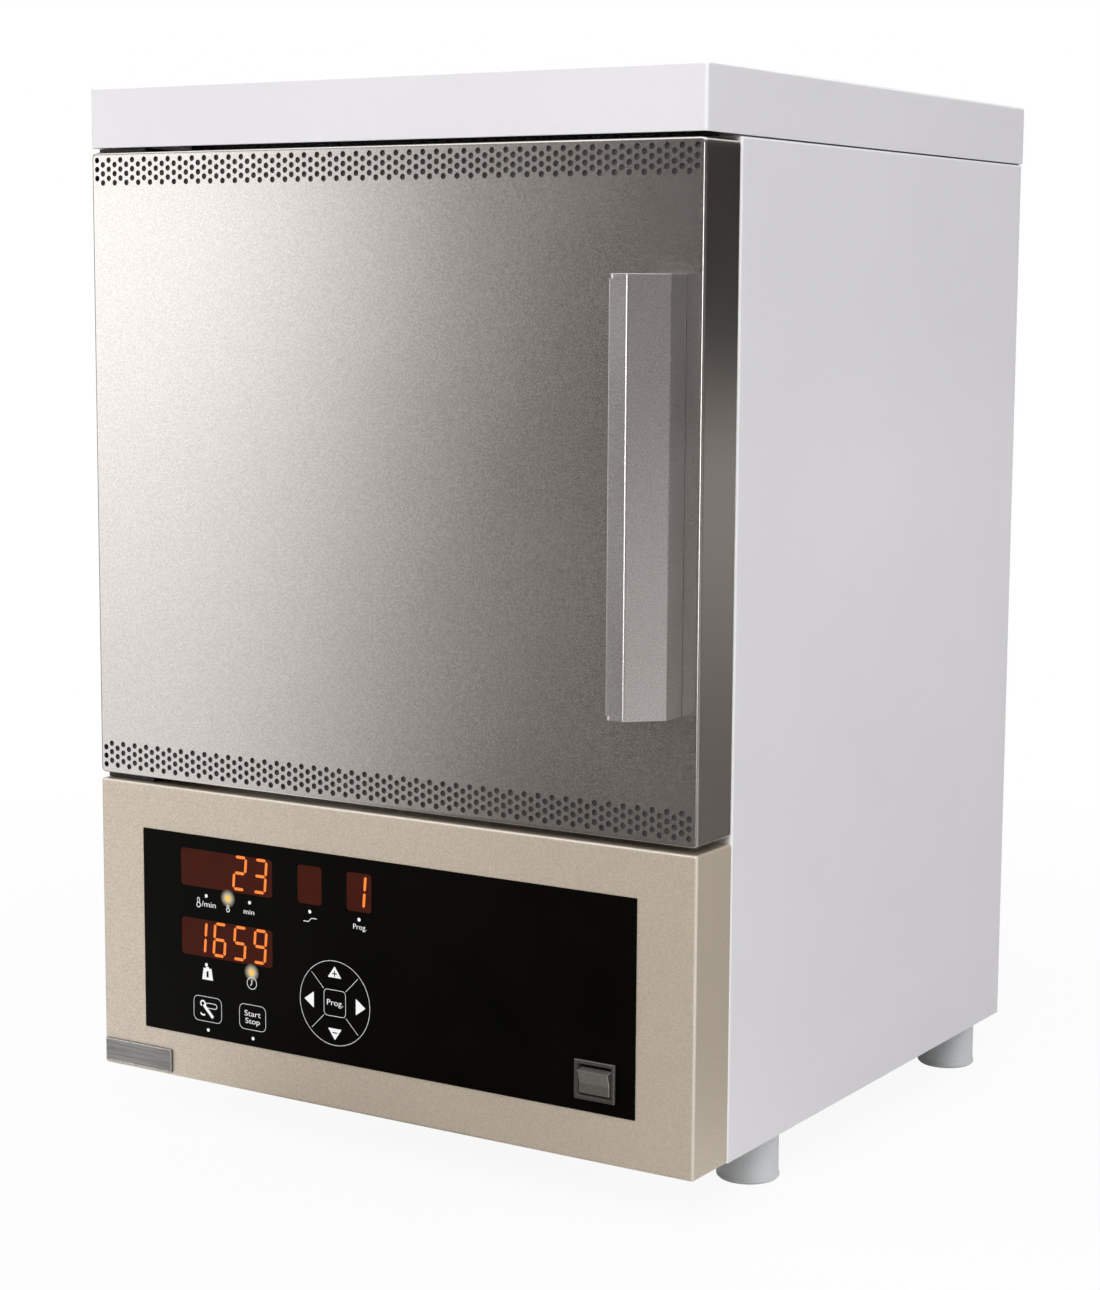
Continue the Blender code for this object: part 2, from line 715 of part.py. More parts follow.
def make_insulation():
    side_low = CHAMBER_FLOOR + SEAT_GAP
    side_high = CHAMBER_ROOF - SEAT_GAP
    half = BRICK_HALF_WIDTH
    chamber_half = CHAMBER_WIDTH / 2
    floor = box("insulation_floor", (-half, BAY_FRONT, BRICK_BOTTOM), (half, BRICK_BACK, CHAMBER_FLOOR))
    roof = box("insulation_roof", (-half, BAY_FRONT, CHAMBER_ROOF), (half, BRICK_BACK, BRICK_TOP))
    left = box("insulation_left", (-half, BAY_FRONT, side_low), (-chamber_half, BRICK_BACK, side_high))
    right = box("insulation_right", (chamber_half, BAY_FRONT, side_low), (half, BRICK_BACK, side_high))
    back_half = chamber_half - SEAT_GAP
    back = box("insulation_back", (-back_half, CHAMBER_BACK, side_low), (back_half, BRICK_BACK, side_high))
    for block in (floor, roof, left, right):
        cut(block, mouth_cutter("mouth_in_" + block.name))
    hole = ELEMENT_SHANK_RADIUS + ROOF_HOLE_CLEARANCE
    cut(roof, *leg_holes("roof_leg_hole", hole, CHAMBER_ROOF, BRICK_TOP))
    cut(back, thermocouple_hole("back_probe_hole", CHAMBER_BACK, BRICK_BACK))


def make_hearth_plate():
    low_z = CHAMBER_FLOOR + SEAT_GAP
    half_width = CHAMBER_WIDTH / 2 - HEARTH_SIDE_GAP
    low = (-half_width, PLUG_BACK + HEARTH_END_GAP, low_z)
    high = (half_width, CHAMBER_BACK - HEARTH_END_GAP, low_z + HEARTH_THICKNESS)
    box("hearth_plate", low, high)


def hairpin_points(bend):
    """(y, z, swelling) along a hairpin whose legs are twice the bend radius apart."""
    top = HOLDER_TOP + ELEMENT_TERMINAL_LENGTH
    shank_end = CHAMBER_ROOF - ELEMENT_SHANK_DROP
    bend_z = CHAMBER_FLOOR + ELEMENT_FLOOR_GAP + ELEMENT_HOT_RADIUS + bend
    thick = ELEMENT_SHANK_RADIUS / ELEMENT_HOT_RADIUS
    leg = [(top, thick), (shank_end, thick), (shank_end - ELEMENT_SHANK_TAPER, 1)]
    points = [(-bend, z, swell) for z, swell in leg]
    for step in range(4 * ARC_STEPS + 1):
        angle = math.pi * (1 + step / (4 * ARC_STEPS))
        points.append((bend * math.cos(angle), bend_z + bend * math.sin(angle), 1))
    return points + [(bend, z, swell) for z, swell in reversed(leg)]


def make_heating_elements():
    for name, x, first_leg, last_leg in element_places():
        points = hairpin_points((last_leg - first_leg) / 2)
        curve = bpy.data.curves.new(name, "CURVE")
        curve.dimensions = "3D"
        curve.bevel_depth = ELEMENT_HOT_RADIUS
        curve.bevel_resolution = 2
        curve.use_fill_caps = True
        spline = curve.splines.new("POLY")
        spline.points.add(len(points) - 1)
        for point, (along, z, swell) in zip(spline.points, points):
            point.co = (0, along, z, 1)
            point.radius = swell
        rod = bpy.data.objects.new(name, curve)
        PARTS.objects.link(rod)
        place(rod, (x, (first_leg + last_leg) / 2, 0))


def make_element_holders():
    legs = [y for _, y in leg_places()]
    for side, name in ((-1, "element_holder_left"), (1, "element_holder_right")):
        middle = side * ELEMENT_X
        low = (middle - HOLDER_WIDTH / 2, min(legs) - HOLDER_END, HOLDER_BOTTOM)
        high = (middle + HOLDER_WIDTH / 2, max(legs) + HOLDER_END, HOLDER_TOP)
        holder = box(name, low, high)
        for index, (x, y) in enumerate(leg_places()):
            if x * side > 0:
                radius = ELEMENT_SHANK_RADIUS + SEAT_GAP
                ends = ((x, y, HOLDER_BOTTOM - OVERRUN), (x, y, HOLDER_TOP + OVERRUN))
                cut(holder, cylinder(f"{name}_hole_{index}", radius, *ends, "Z", SMALL_STEPS))


def make_thermocouple():
    sheath = CASE_BACK + SEAT_GAP - (CHAMBER_BACK - THERMOCOUPLE_REACH)
    profile = [
        (0, sheath),
        (THERMOCOUPLE_RADIUS, sheath),
        (THERMOCOUPLE_RADIUS, 0),
        (THERMOCOUPLE_HEAD_RADIUS, 0),
        (THERMOCOUPLE_HEAD_RADIUS, -THERMOCOUPLE_HEAD_LENGTH),
        (0, -THERMOCOUPLE_HEAD_LENGTH),
    ]
    place_at = (0, CASE_BACK + SEAT_GAP, DOOR_MID + THERMOCOUPLE_HEIGHT)
    turned("thermocouple", profile, place_at, "Y", SMALL_STEPS)


# Door and its hinge


def make_door_seal():
    half_width = mouth_half(CHAMBER_WIDTH, FRAME_FRONT) + SEAL_INSET
    half_height = mouth_half(CHAMBER_HEIGHT, FRAME_FRONT) + SEAL_INSET
    inner = rectangle((0, DOOR_MID), 2 * half_width, 2 * half_height)
    outer = rectangle((0, DOOR_MID), 2 * (half_width + SEAL_WIDTH), 2 * (half_height + SEAL_WIDTH))
    extruded("door_seal", [outer, inner], DOOR_DEPTH + SEAT_GAP, FRAME_FRONT - SEAT_GAP, "Y")


def pin_ends():
    """Lowest and highest point of each hinge pin."""
    return {
        "top": (DOOR_TOP - HINGE_PIN_ENTRY, LID_BOTTOM - SEAT_GAP),
        "bottom": (FASCIA_TOP + SEAT_GAP, DOOR_BOTTOM + HINGE_PIN_ENTRY),
    }


def pin_cylinder(name, clearance, low, high):
    ends = ((HINGE_X, HINGE_DEPTH, low), (HINGE_X, HINGE_DEPTH, high))
    return cylinder(name, HINGE_PIN_RADIUS + clearance, *ends, "Z", SMALL_STEPS)


def make_hinges():
    left = SHUT_GAP - HALF_WIDTH
    right = left + HINGE_PLATE_LENGTH
    flange_left = SIDE_RETURN + SEAT_GAP - HALF_WIDTH
    back = FRAME_FRONT - SEAT_GAP
    plates = {
        "top": (DOOR_TOP + SEAT_GAP, LID_BOTTOM - SEAT_GAP),
        "bottom": (FASCIA_TOP + SEAT_GAP, DOOR_BOTTOM - SEAT_GAP),
    }
    flanges = {
        "top": (DOOR_TOP - HINGE_FLANGE_HEIGHT, LID_BOTTOM - SEAT_GAP),
        "bottom": (FASCIA_TOP + SEAT_GAP, DOOR_BOTTOM + HINGE_FLANGE_HEIGHT),
    }
    for end, (pin_low, pin_high) in pin_ends().items():
        low, high = plates[end]
        plate = box(
            "hinge_bracket_" + end, (left, HINGE_PLATE_FRONT, low), (right, FRONT_DEPTH - SEAT_GAP, high)
        )
        low, high = flanges[end]
        flange_front = FRONT_DEPTH - 2 * SEAT_GAP
        join(plate, box("hinge_flange_" + end, (flange_left, flange_front, low), (right, back, high)))
        cut(plate, pin_cylinder("bracket_pin_hole_" + end, SEAT_GAP, pin_low - OVERRUN, pin_high + OVERRUN))
        pin_cylinder("hinge_pin_" + end, 0, pin_low, pin_high)


def make_door():
    low = (-HALF_WIDTH, 0, DOOR_BOTTOM)
    high = (HALF_WIDTH, DOOR_DEPTH, DOOR_TOP)
    skin = tray("door_skin", low, high, [(0, 1, 0)], OUTER_SHEET)
    for end, (pin_low, pin_high) in pin_ends().items():
        cut(skin, pin_cylinder("skin_pin_hole_" + end, SEAT_GAP, pin_low, pin_high))
    hole = HANDLE_SCREW_RADIUS + SEAT_GAP
    for end, z in handle_screw_heights().items():
        ends = ((HANDLE_SCREW_X, -OVERRUN, z), (HANDLE_SCREW_X, OUTER_SHEET + OVERRUN, z))
        cut(skin, cylinder("skin_screw_hole_" + end, hole, *ends, "Y", SMALL_STEPS))

    inset = OUTER_SHEET + SEAT_GAP
    low = (inset - HALF_WIDTH, DOOR_DEPTH - DOOR_TRAY_DEPTH, DOOR_BOTTOM + inset)
    high = (HALF_WIDTH - inset, DOOR_DEPTH, DOOR_TOP - inset)
    back = tray("door_back", low, high, [(0, -1, 0)], OUTER_SHEET)

    inset += OUTER_SHEET + SEAT_GAP
    low = (inset - HALF_WIDTH, DOOR_DEPTH - DOOR_TRAY_DEPTH, DOOR_BOTTOM + inset)
    high = (HALF_WIDTH - inset, DOOR_DEPTH - OUTER_SHEET - SEAT_GAP, DOOR_TOP - inset)
    core = box("door_core", low, high)
    plug = tapered_block("door_plug", DOOR_DEPTH + SEAT_GAP, PLUG_BACK, PLUG_CLEARANCE)
    return [skin, back, core, plug]


def handle_screw_heights():
    half = HANDLE_LENGTH / 2 - HANDLE_SCREW_END_INSET
    return {"bottom": DOOR_MID - half, "top": DOOR_MID + half}


def handle_outer():
    """Plan of the handle's outside: short flat front, 45 degree face, flat right side."""
    slope = HANDLE_REACH - HANDLE_SIDE
    return [
        (HANDLE_LEFT, -HANDLE_REACH),
        (HANDLE_RIGHT - slope, -HANDLE_REACH),
        (HANDLE_RIGHT, -HANDLE_SIDE),
    ]


def make_handle():
    slope = HANDLE_REACH - HANDLE_SIDE
    mitre = HANDLE_WALL * math.tan(math.pi / 8)
    foot = -SEAT_GAP
    outer = rounded([(HANDLE_LEFT, foot), *handle_outer(), (HANDLE_RIGHT, foot)], HANDLE_EDGE_RADIUS)
    arc = ARC_STEPS + 1
    open_outer = outer[arc:-arc]
    inside = [
        (HANDLE_RIGHT, foot),
        (HANDLE_RIGHT - HANDLE_FLANGE, foot),
        (HANDLE_RIGHT - HANDLE_FLANGE, foot - HANDLE_WALL),
        (HANDLE_RIGHT - HANDLE_WALL, foot - HANDLE_WALL),
        (HANDLE_RIGHT - HANDLE_WALL, mitre - HANDLE_SIDE),
        (HANDLE_RIGHT - slope - mitre, HANDLE_WALL - HANDLE_REACH),
        (HANDLE_LEFT, HANDLE_WALL - HANDLE_REACH),
    ]
    half = HANDLE_LENGTH / 2
    grip_half = half - HANDLE_CAP - SEAT_GAP
    grip = extruded("door_handle", [open_outer + inside], DOOR_MID - grip_half, DOOR_MID + grip_half, "Z")
    pieces = [grip]
    cap_plan = open_outer + [(HANDLE_RIGHT, foot), (HANDLE_LEFT, foot)]
    spans = {"bottom": (-half, HANDLE_CAP - half), "top": (half - HANDLE_CAP, half)}
    for end, (low, high) in spans.items():
        pieces.append(extruded("handle_cap_" + end, [cap_plan], DOOR_MID + low, DOOR_MID + high, "Z"))
    head = OUTER_SHEET + SEAT_GAP
    tip = foot - HANDLE_WALL
    profile = [
        (0, -tip),
        (HANDLE_SCREW_RADIUS, -tip),
        (HANDLE_SCREW_RADIUS, -head),
        (HANDLE_SCREW_HEAD_RADIUS, -head),
        (HANDLE_SCREW_HEAD_RADIUS, -head - HANDLE_SCREW_HEAD_HEIGHT),
        (0, -head - HANDLE_SCREW_HEAD_HEIGHT),
    ]
    for end, z in handle_screw_heights().items():
        ends = ((HANDLE_SCREW_X, tip - OVERRUN, z), (HANDLE_SCREW_X, foot + OVERRUN, z))
        hole = HANDLE_SCREW_RADIUS + SEAT_GAP
        cut(grip, cylinder("grip_screw_hole_" + end, hole, *ends, "Y", SMALL_STEPS))
        pieces.append(turned("handle_screw_" + end, profile, (HANDLE_SCREW_X, 0, z), "Y", SMALL_STEPS))
    return pieces


def make_door_magnet():
    x = HALF_WIDTH - MAGNET_INSET
    front = DOOR_DEPTH + SEAT_GAP
    low = (x - MAGNET_WIDTH / 2, front, DOOR_MID - MAGNET_HEIGHT / 2)
    high = (x + MAGNET_WIDTH / 2, front + MAGNET_DEPTH, DOOR_MID + MAGNET_HEIGHT / 2)
    box("door_magnet", low, high)
    top = DOOR_TOP - SENSOR_DROP
    low = (x - SENSOR_WIDTH / 2, BAY_FRONT, top - SENSOR_HEIGHT)
    high = (x + SENSOR_WIDTH / 2, BAY_FRONT + SENSOR_DEPTH, top)
    box("door_sensor", low, high)


# Fascia, control panel and switch


def panel_point(shares):
    """A place on the control panel, from its shares of the panel's size."""
    x_share, z_share = shares
    return Vector((PANEL_MID_X + x_share * PANEL_WIDTH, PANEL_MID_Z + z_share * PANEL_HEIGHT))


def make_fascia():
    low = (-HALF_WIDTH, 0, BASE_Z)
    high = (HALF_WIDTH, FRONT_DEPTH - SEAT_GAP, FASCIA_TOP)
    fascia = tray("fascia", low, high, [(0, 1, 0)], OUTER_SHEET)
    reach_x = PANEL_WIDTH / 2 + SEAT_GAP
    reach_z = PANEL_HEIGHT / 2 + SEAT_GAP
    low = (PANEL_MID_X - reach_x, -OVERRUN, PANEL_MID_Z - reach_z)
    high = (PANEL_MID_X + reach_x, OUTER_SHEET + OVERRUN, PANEL_MID_Z + reach_z)
    cut(fascia, box("panel_cutout", low, high))


def window_width(name):
    return WINDOW_WIDTH if name in ("upper", "lower") else SMALL_WINDOW_WIDTH


def key_outlines(growth):
    """Outline of each key, or of its hole when grown by the clearance."""
    outlines = {}
    for name, shares in SQUARE_KEY_SHARES.items():
        shape = rectangle(panel_point(shares), KEY_WIDTH + 2 * growth, KEY_HEIGHT + 2 * growth)
        outlines[name] = rounded(shape, KEY_RADIUS + growth)
    ring = panel_point(RING_SHARES)
    size = CENTRE_KEY_SIZE + 2 * growth
    outlines["key_program"] = rounded(rectangle(ring, size, size), CENTRE_KEY_RADIUS + growth)
    inner = CENTRE_KEY_SIZE / 2 + KEY_WEB + 2 * SEAT_GAP - growth
    side = KEY_WEB / 2 + SEAT_GAP - growth
    for quarter, name in enumerate(("key_up", "key_left", "key_down", "key_right")):
        outlines[name] = sector(ring, RING_RADIUS + growth, inner, side, quarter)
    return outlines


def switch_size(growth):
    """Width and height of the switch's body behind the bezel."""
    return (BEZEL_WIDTH - BEZEL_WALL + 2 * growth, BEZEL_HEIGHT - BEZEL_WALL + 2 * growth)


def make_control_panel():
    plate = rectangle((PANEL_MID_X, PANEL_MID_Z), PANEL_WIDTH, PANEL_HEIGHT)
    windows = []
    for name, shares in WINDOW_SHARES.items():
        window = rectangle(panel_point(shares), window_width(name), WINDOW_HEIGHT)
        windows.append(rounded(window, WINDOW_RADIUS))
    holes = list(key_outlines(SEAT_GAP).values())
    switch_hole = rectangle(panel_point(SWITCH_SHARES), *switch_size(SEAT_GAP))
    extruded("control_panel", [plate, *windows, *holes, switch_hole], PANEL_FRONT, PANEL_BACK, "Y")


def make_keys():
    for name, outline in key_outlines(0).items():
        extruded(name, [outline], PANEL_FRONT, PANEL_BACK - SEAT_GAP, "Y")


def make_display_filter():
    """An L-shaped red sheet behind the four windows."""
    upper = panel_point(WINDOW_SHARES["upper"])
    lower = panel_point(WINDOW_SHARES["lower"])
    program = panel_point(WINDOW_SHARES["program"])
    rise = WINDOW_HEIGHT / 2 + FILTER_MARGIN
    left = min(upper.x, lower.x) - WINDOW_WIDTH / 2 - FILTER_MARGIN
    step = lower.x + WINDOW_WIDTH / 2 + FILTER_MARGIN
    right = program.x + SMALL_WINDOW_WIDTH / 2 + FILTER_MARGIN
    outline = [
        (left, lower.y - rise),
        (step, lower.y - rise),
        (step, upper.y - rise),
        (right, upper.y - rise),
        (right, upper.y + rise),
        (left, upper.y + rise),
    ]
    extruded("display_filter", [outline], FILTER_FRONT, FILTER_BACK, "Y")


def make_control_board():
    left = PANEL_MID_X - PANEL_WIDTH / 2 + BOARD_MARGIN
    right = panel_point(RING_SHARES).x + RING_RADIUS + BOARD_MARGIN
    half = PANEL_HEIGHT / 2 - BOARD_MARGIN
    low = (left, BOARD_FRONT, PANEL_MID_Z - half)
    high = (right, BOARD_FRONT + BOARD_THICKNESS, PANEL_MID_Z + half)
    box("control_board", low, high)


def make_switch_bezel():
    x, z = panel_point(SWITCH_SHARES)
    flange_back = PANEL_FRONT - SEAT_GAP
    low = (x - BEZEL_WIDTH / 2, BEZEL_FRONT, z - BEZEL_HEIGHT / 2)
    high = (x + BEZEL_WIDTH / 2, flange_back, z + BEZEL_HEIGHT / 2)
    bezel = box("switch_bezel", low, high)
    width, height = switch_size(0)
    low = (x - width / 2, flange_back - BEZEL_PROUD / 2, z - height / 2)
    high = (x + width / 2, flange_back + SWITCH_BODY_DEPTH, z + height / 2)
    join(bezel, box("switch_body", low, high))
    low = (x - POCKET_WIDTH / 2, BEZEL_FRONT - OVERRUN, z - POCKET_HEIGHT / 2)
    high = (x + POCKET_WIDTH / 2, BEZEL_FRONT + SWITCH_POCKET_DEPTH, z + POCKET_HEIGHT / 2)
    cut(bezel, box("switch_pocket", low, high))
    ends = ((x - BEZEL_WIDTH / 2, ROCKER_PIVOT_Y, z), (x + BEZEL_WIDTH / 2, ROCKER_PIVOT_Y, z))
    cut(bezel, cylinder("rocker_pin_hole", ROCKER_PIN_RADIUS + SEAT_GAP, *ends, "X", SMALL_STEPS))


def make_rocker():
    """A rocker whose two faces meet in a shallow valley, tilted so that its lower face is upright."""
    x, z = panel_point(SWITCH_SHARES)
    half_tilt = ROCKER_TILT / 2
    reach = POCKET_HEIGHT / 2 - 3 * ROCKER_CLEARANCE
    valley = -ROCKER_PIVOT_DEPTH
    lip_y = valley - reach * math.sin(half_tilt)
    lip_z = reach * math.cos(half_tilt)
    back = ROCKER_PIVOT_DEPTH - ROCKER_CLEARANCE
    outline = [
        (valley, 0),
        (lip_y, -lip_z),
        (0, -lip_z),
        (back, -lip_z / 2),
        (back, lip_z / 2),
        (0, lip_z),
        (lip_y, lip_z),
    ]
    turn = Matrix.Rotation(half_tilt, 2)
    tilted = [tuple(turn @ Vector(point)) for point in outline]
    half_width = POCKET_WIDTH / 2 - ROCKER_CLEARANCE
    rocker = extruded("power_rocker", [tilted], x - half_width, x + half_width, "X")
    rocker.location.y = ROCKER_PIVOT_Y
    rocker.location.z = z
    pin_reach = POCKET_WIDTH / 2 + ROCKER_PIN_LENGTH
    ends = ((x - pin_reach, ROCKER_PIVOT_Y, z), (x + pin_reach, ROCKER_PIVOT_Y, z))
    pins = cylinder("rocker_pins", ROCKER_PIN_RADIUS, *ends, "X", SMALL_STEPS)
    join(rocker, pins)
    return [rocker, pins]


def make_badge_plate():
    left = BADGE_SIDE_INSET - HALF_WIDTH
    bottom = BASE_Z + BADGE_BASE_INSET
    low = (left, -SEAT_GAP - BADGE_THICKNESS, bottom)
    high = (left + BADGE_WIDTH, -SEAT_GAP, bottom + BADGE_HEIGHT)
    box("badge_plate", low, high)


# Electronics bay


def make_transformer():
    width, depth, height = TRANSFORMER_CORE
    coil_width, coil_depth, coil_height = TRANSFORMER_COIL
    x = TRANSFORMER_SIDE_INSET + width / 2 - INNER_HALF_WIDTH
    y = BAY_REAR - TRANSFORMER_REAR_INSET - coil_depth / 2
    low = (x - width / 2, y - depth / 2, BAY_FLOOR)
    high = (x + width / 2, y + depth / 2, BAY_FLOOR + height)
    core = box("transformer", low, high)
    middle_z = BAY_FLOOR + height / 2
    low = (x - coil_width / 2, y - coil_depth / 2, middle_z - coil_height / 2)
    high = (x + coil_width / 2, y + coil_depth / 2, middle_z + coil_height / 2)
    join(core, box("transformer_coil", low, high))


def make_power_controller():
    """A comb-shaped heat sink standing on the base pan, with its switching module on the flat side."""
    gap = (SINK_LENGTH - SINK_FIN_COUNT * SINK_FIN) / (SINK_FIN_COUNT - 1)
    tip = SINK_X + SINK_BASE + SINK_FIN_LENGTH
    root = SINK_X + SINK_BASE
    outline = [(SINK_X, SINK_Y)]
    for index in range(SINK_FIN_COUNT):
        near = SINK_Y + index * (SINK_FIN + gap)
        if index:
            outline.append((root, near))
        outline += [(tip, near), (tip, near + SINK_FIN)]
        if index < SINK_FIN_COUNT - 1:
            outline.append((root, near + SINK_FIN))
    outline.append((SINK_X, SINK_Y + SINK_LENGTH))
    sink = extruded("power_controller", [outline], BAY_FLOOR, BAY_FLOOR + SINK_HEIGHT, "Z")
    thickness, depth, height = MODULE_SIZE
    middle_y = SINK_Y + SINK_LENGTH / 2
    middle_z = BAY_FLOOR + SINK_HEIGHT / 2
    low = (SINK_X - thickness, middle_y - depth / 2, middle_z - height / 2)
    high = (SINK_X + SINK_BASE / 2, middle_y + depth / 2, middle_z + height / 2)
    join(sink, box("switching_module", low, high))


def make_cooling_fan():
    centre = (FAN_X, FAN_Z)
    frame = rectangle(centre, FAN_SIZE, FAN_SIZE)
    bore = circle(centre, FAN_BORE_RADIUS, ROUND_STEPS)
    housing = extruded("fan_housing", [frame, bore], FAN_FRONT, FAN_BACK, "Y")
    reach = FAN_BORE_RADIUS + OVERRUN
    spider_back = FAN_FRONT + FAN_SPIDER
    for name, half_x, half_z in (("flat", reach, FAN_STRUT / 2), ("upright", FAN_STRUT / 2, reach)):
        low = (FAN_X - half_x, FAN_FRONT, FAN_Z - half_z)
        high = (FAN_X + half_x, spider_back, FAN_Z + half_z)
        join(housing, box("fan_strut_" + name, low, high))
    boss = cylinder("fan_boss", FAN_HUB_RADIUS, (FAN_X, FAN_FRONT, FAN_Z), (FAN_X, spider_back, FAN_Z), "Y")
    ends = ((FAN_X, FAN_FRONT + FAN_SPIDER / 2, FAN_Z), (FAN_X, FAN_AXLE_END, FAN_Z))
    join(housing, boss, cylinder("fan_axle", FAN_AXLE_RADIUS, *ends, "Y", SMALL_STEPS))


def make_fan_rotor():
    """A hub with flat blades set at a pitch, turning about the axle."""
    low = FAN_FRONT + FAN_SPIDER + SEAT_GAP
    high = low + FAN_HUB_DEPTH
    rotor = cylinder("fan_rotor", FAN_HUB_RADIUS, (FAN_X, low, FAN_Z), (FAN_X, high, FAN_Z), "Y")
    inner = FAN_HUB_RADIUS - OVERRUN
    length = FAN_TIP_RADIUS - inner
    blades = bmesh.new()
    for index in range(FAN_BLADES):
        turn = Matrix.Rotation(2 * math.pi * index / FAN_BLADES, 4, "Y")
        out = Matrix.Translation((inner + length / 2, 0, 0))
        pitch = Matrix.Rotation(FAN_BLADE_PITCH, 4, "X")
        size = Matrix.Diagonal((length, FAN_BLADE_THICKNESS, FAN_BLADE_CHORD, 1))
        bmesh.ops.create_cube(blades, size=1, matrix=turn @ out @ pitch @ size)
    fan_blades = place(object_from_bmesh("fan_blades", blades), (FAN_X, (low + high) / 2, FAN_Z))
    join(rotor, fan_blades)
    ends = ((FAN_X, low - OVERRUN, FAN_Z), (FAN_X, high + OVERRUN, FAN_Z))
    bore = cylinder("fan_rotor_bore", FAN_AXLE_RADIUS + SEAT_GAP, *ends, "Y", SMALL_STEPS)
    cut(rotor, bore)
    return [rotor, fan_blades, bore]


def make_mains_inlet():
    front = REAR_OUTER + SEAT_GAP
    back = front + INLET_FLANGE
    half = Vector((INLET_WIDTH / 2, INLET_HEIGHT / 2))
    low = (INLET_X - half.x, front, INLET_Z - half.y)
    high = (INLET_X + half.x, back, INLET_Z + half.y)
    inlet = box("mains_inlet", low, high)
    half = Vector((INLET_BODY_WIDTH / 2, INLET_BODY_HEIGHT / 2))
    low = (INLET_X - half.x, front - INLET_BODY_DEPTH, INLET_Z - half.y)
    high = (INLET_X + half.x, front + INLET_FLANGE / 2, INLET_Z + half.y)
    join(inlet, box("inlet_body", low, high))
    half = Vector((INLET_SOCKET_WIDTH / 2, INLET_SOCKET_HEIGHT / 2))
    socket_floor = back - INLET_SOCKET_DEPTH
    low = (INLET_X - half.x, socket_floor, INLET_Z - half.y)
    high = (INLET_X + half.x, back + OVERRUN, INLET_Z + half.y)
    cut(inlet, box("inlet_socket", low, high))
    spans = []
    for side in (-1, 0, 1):
        x = INLET_X + side * INLET_PIN_SPACING
        z = INLET_Z + (INLET_PIN_DROP if side == 0 else -INLET_PIN_DROP)
        low = (x - INLET_PIN_WIDTH / 2, socket_floor - OVERRUN, z - INLET_PIN_HEIGHT / 2)
        high = (x + INLET_PIN_WIDTH / 2, socket_floor + INLET_PIN_LENGTH, z + INLET_PIN_HEIGHT / 2)
        spans.append((low, high))
    join(inlet, many_boxes("inlet_pins", spans))


# Colour, roughness and metallic value of each finish, and the pieces that have it
FINISHES = {
    "pale_powder_coat": ((0.78, 0.78, 0.79), 0.45, 0.0),
    "satin_steel": ((0.42, 0.40, 0.38), 0.35, 1.0),
    "zinc_plate": ((0.60, 0.60, 0.58), 0.40, 1.0),
    "satin_aluminium": ((0.56, 0.55, 0.54), 0.38, 1.0),
    "beige_powder_coat": ((0.58, 0.51, 0.42), 0.50, 0.0),
    "black_panel": ((0.006, 0.006, 0.006), 0.30, 0.0),
    "red_filter": ((0.06, 0.012, 0.008), 0.15, 0.0),
    "green_board": ((0.02, 0.16, 0.06), 0.45, 0.0),
    "grey_plastic": ((0.44, 0.47, 0.48), 0.55, 0.0),
    "dark_plastic": ((0.07, 0.066, 0.058), 0.40, 0.0),
    "white_fibre": ((0.82, 0.79, 0.73), 0.95, 0.0),
    "alumina": ((0.86, 0.84, 0.80), 0.60, 0.0),
    "element_rod": ((0.09, 0.08, 0.08), 0.45, 0.6),
    "dark_core": ((0.06, 0.06, 0.065), 0.55, 0.4),
}
FINISH_OF = {
    "lid": "pale_powder_coat",
    "side_panel": "pale_powder_coat",
    "rear_panel": "zinc_plate",
    "base_pan": "zinc_plate",
    "front_frame": "satin_steel",
    "furnace_deck": "zinc_plate",
    "inner_casing": "zinc_plate",
    "insulation": "white_fibre",
    "hearth_plate": "alumina",
    "heating_element": "element_rod",
    "element_holder": "alumina",
    "thermocouple": "alumina",
    "door_skin": "satin_steel",
    "door_back": "satin_steel",
    "door_core": "white_fibre",
    "door_plug": "white_fibre",
    "door_seal": "white_fibre",
    "door_handle": "satin_aluminium",
    "handle_cap": "satin_aluminium",
    "handle_screw": "zinc_plate",
    "hinge": "zinc_plate",
    "door_magnet": "dark_core",
    "door_sensor": "dark_plastic",
    "fascia": "beige_powder_coat",
    "control_panel": "black_panel",
    "key": "black_panel",
    "display_filter": "red_filter",
    "control_board": "green_board",
    "switch_bezel": "dark_plastic",
    "power_rocker": "grey_plastic",
    "badge_plate": "zinc_plate",
    "foot": "grey_plastic",
    "transformer": "dark_core",
    "power_controller": "satin_aluminium",
    "fan_housing": "dark_plastic",
    "fan_rotor": "dark_plastic",
    "mains_inlet": "dark_plastic",
}


def finish_piece(obj):
    """Gives a piece its own material, from the longest name in the table that its name starts with."""
    kind = max((key for key in FINISH_OF if obj.name.startswith(key)), key=len)
    colour, roughness, metallic = FINISHES[FINISH_OF[kind]]
    material = bpy.data.materials.new(obj.name + "_" + FINISH_OF[kind])
    material.use_nodes = True
    shader = material.node_tree.nodes["Principled BSDF"]
    shader.inputs["Base Color"].default_value = (*colour, 1)
    shader.inputs["Roughness"].default_value = roughness
    shader.inputs["Metallic"].default_value = metallic
    obj.data.materials.clear()
    obj.data.materials.append(material)


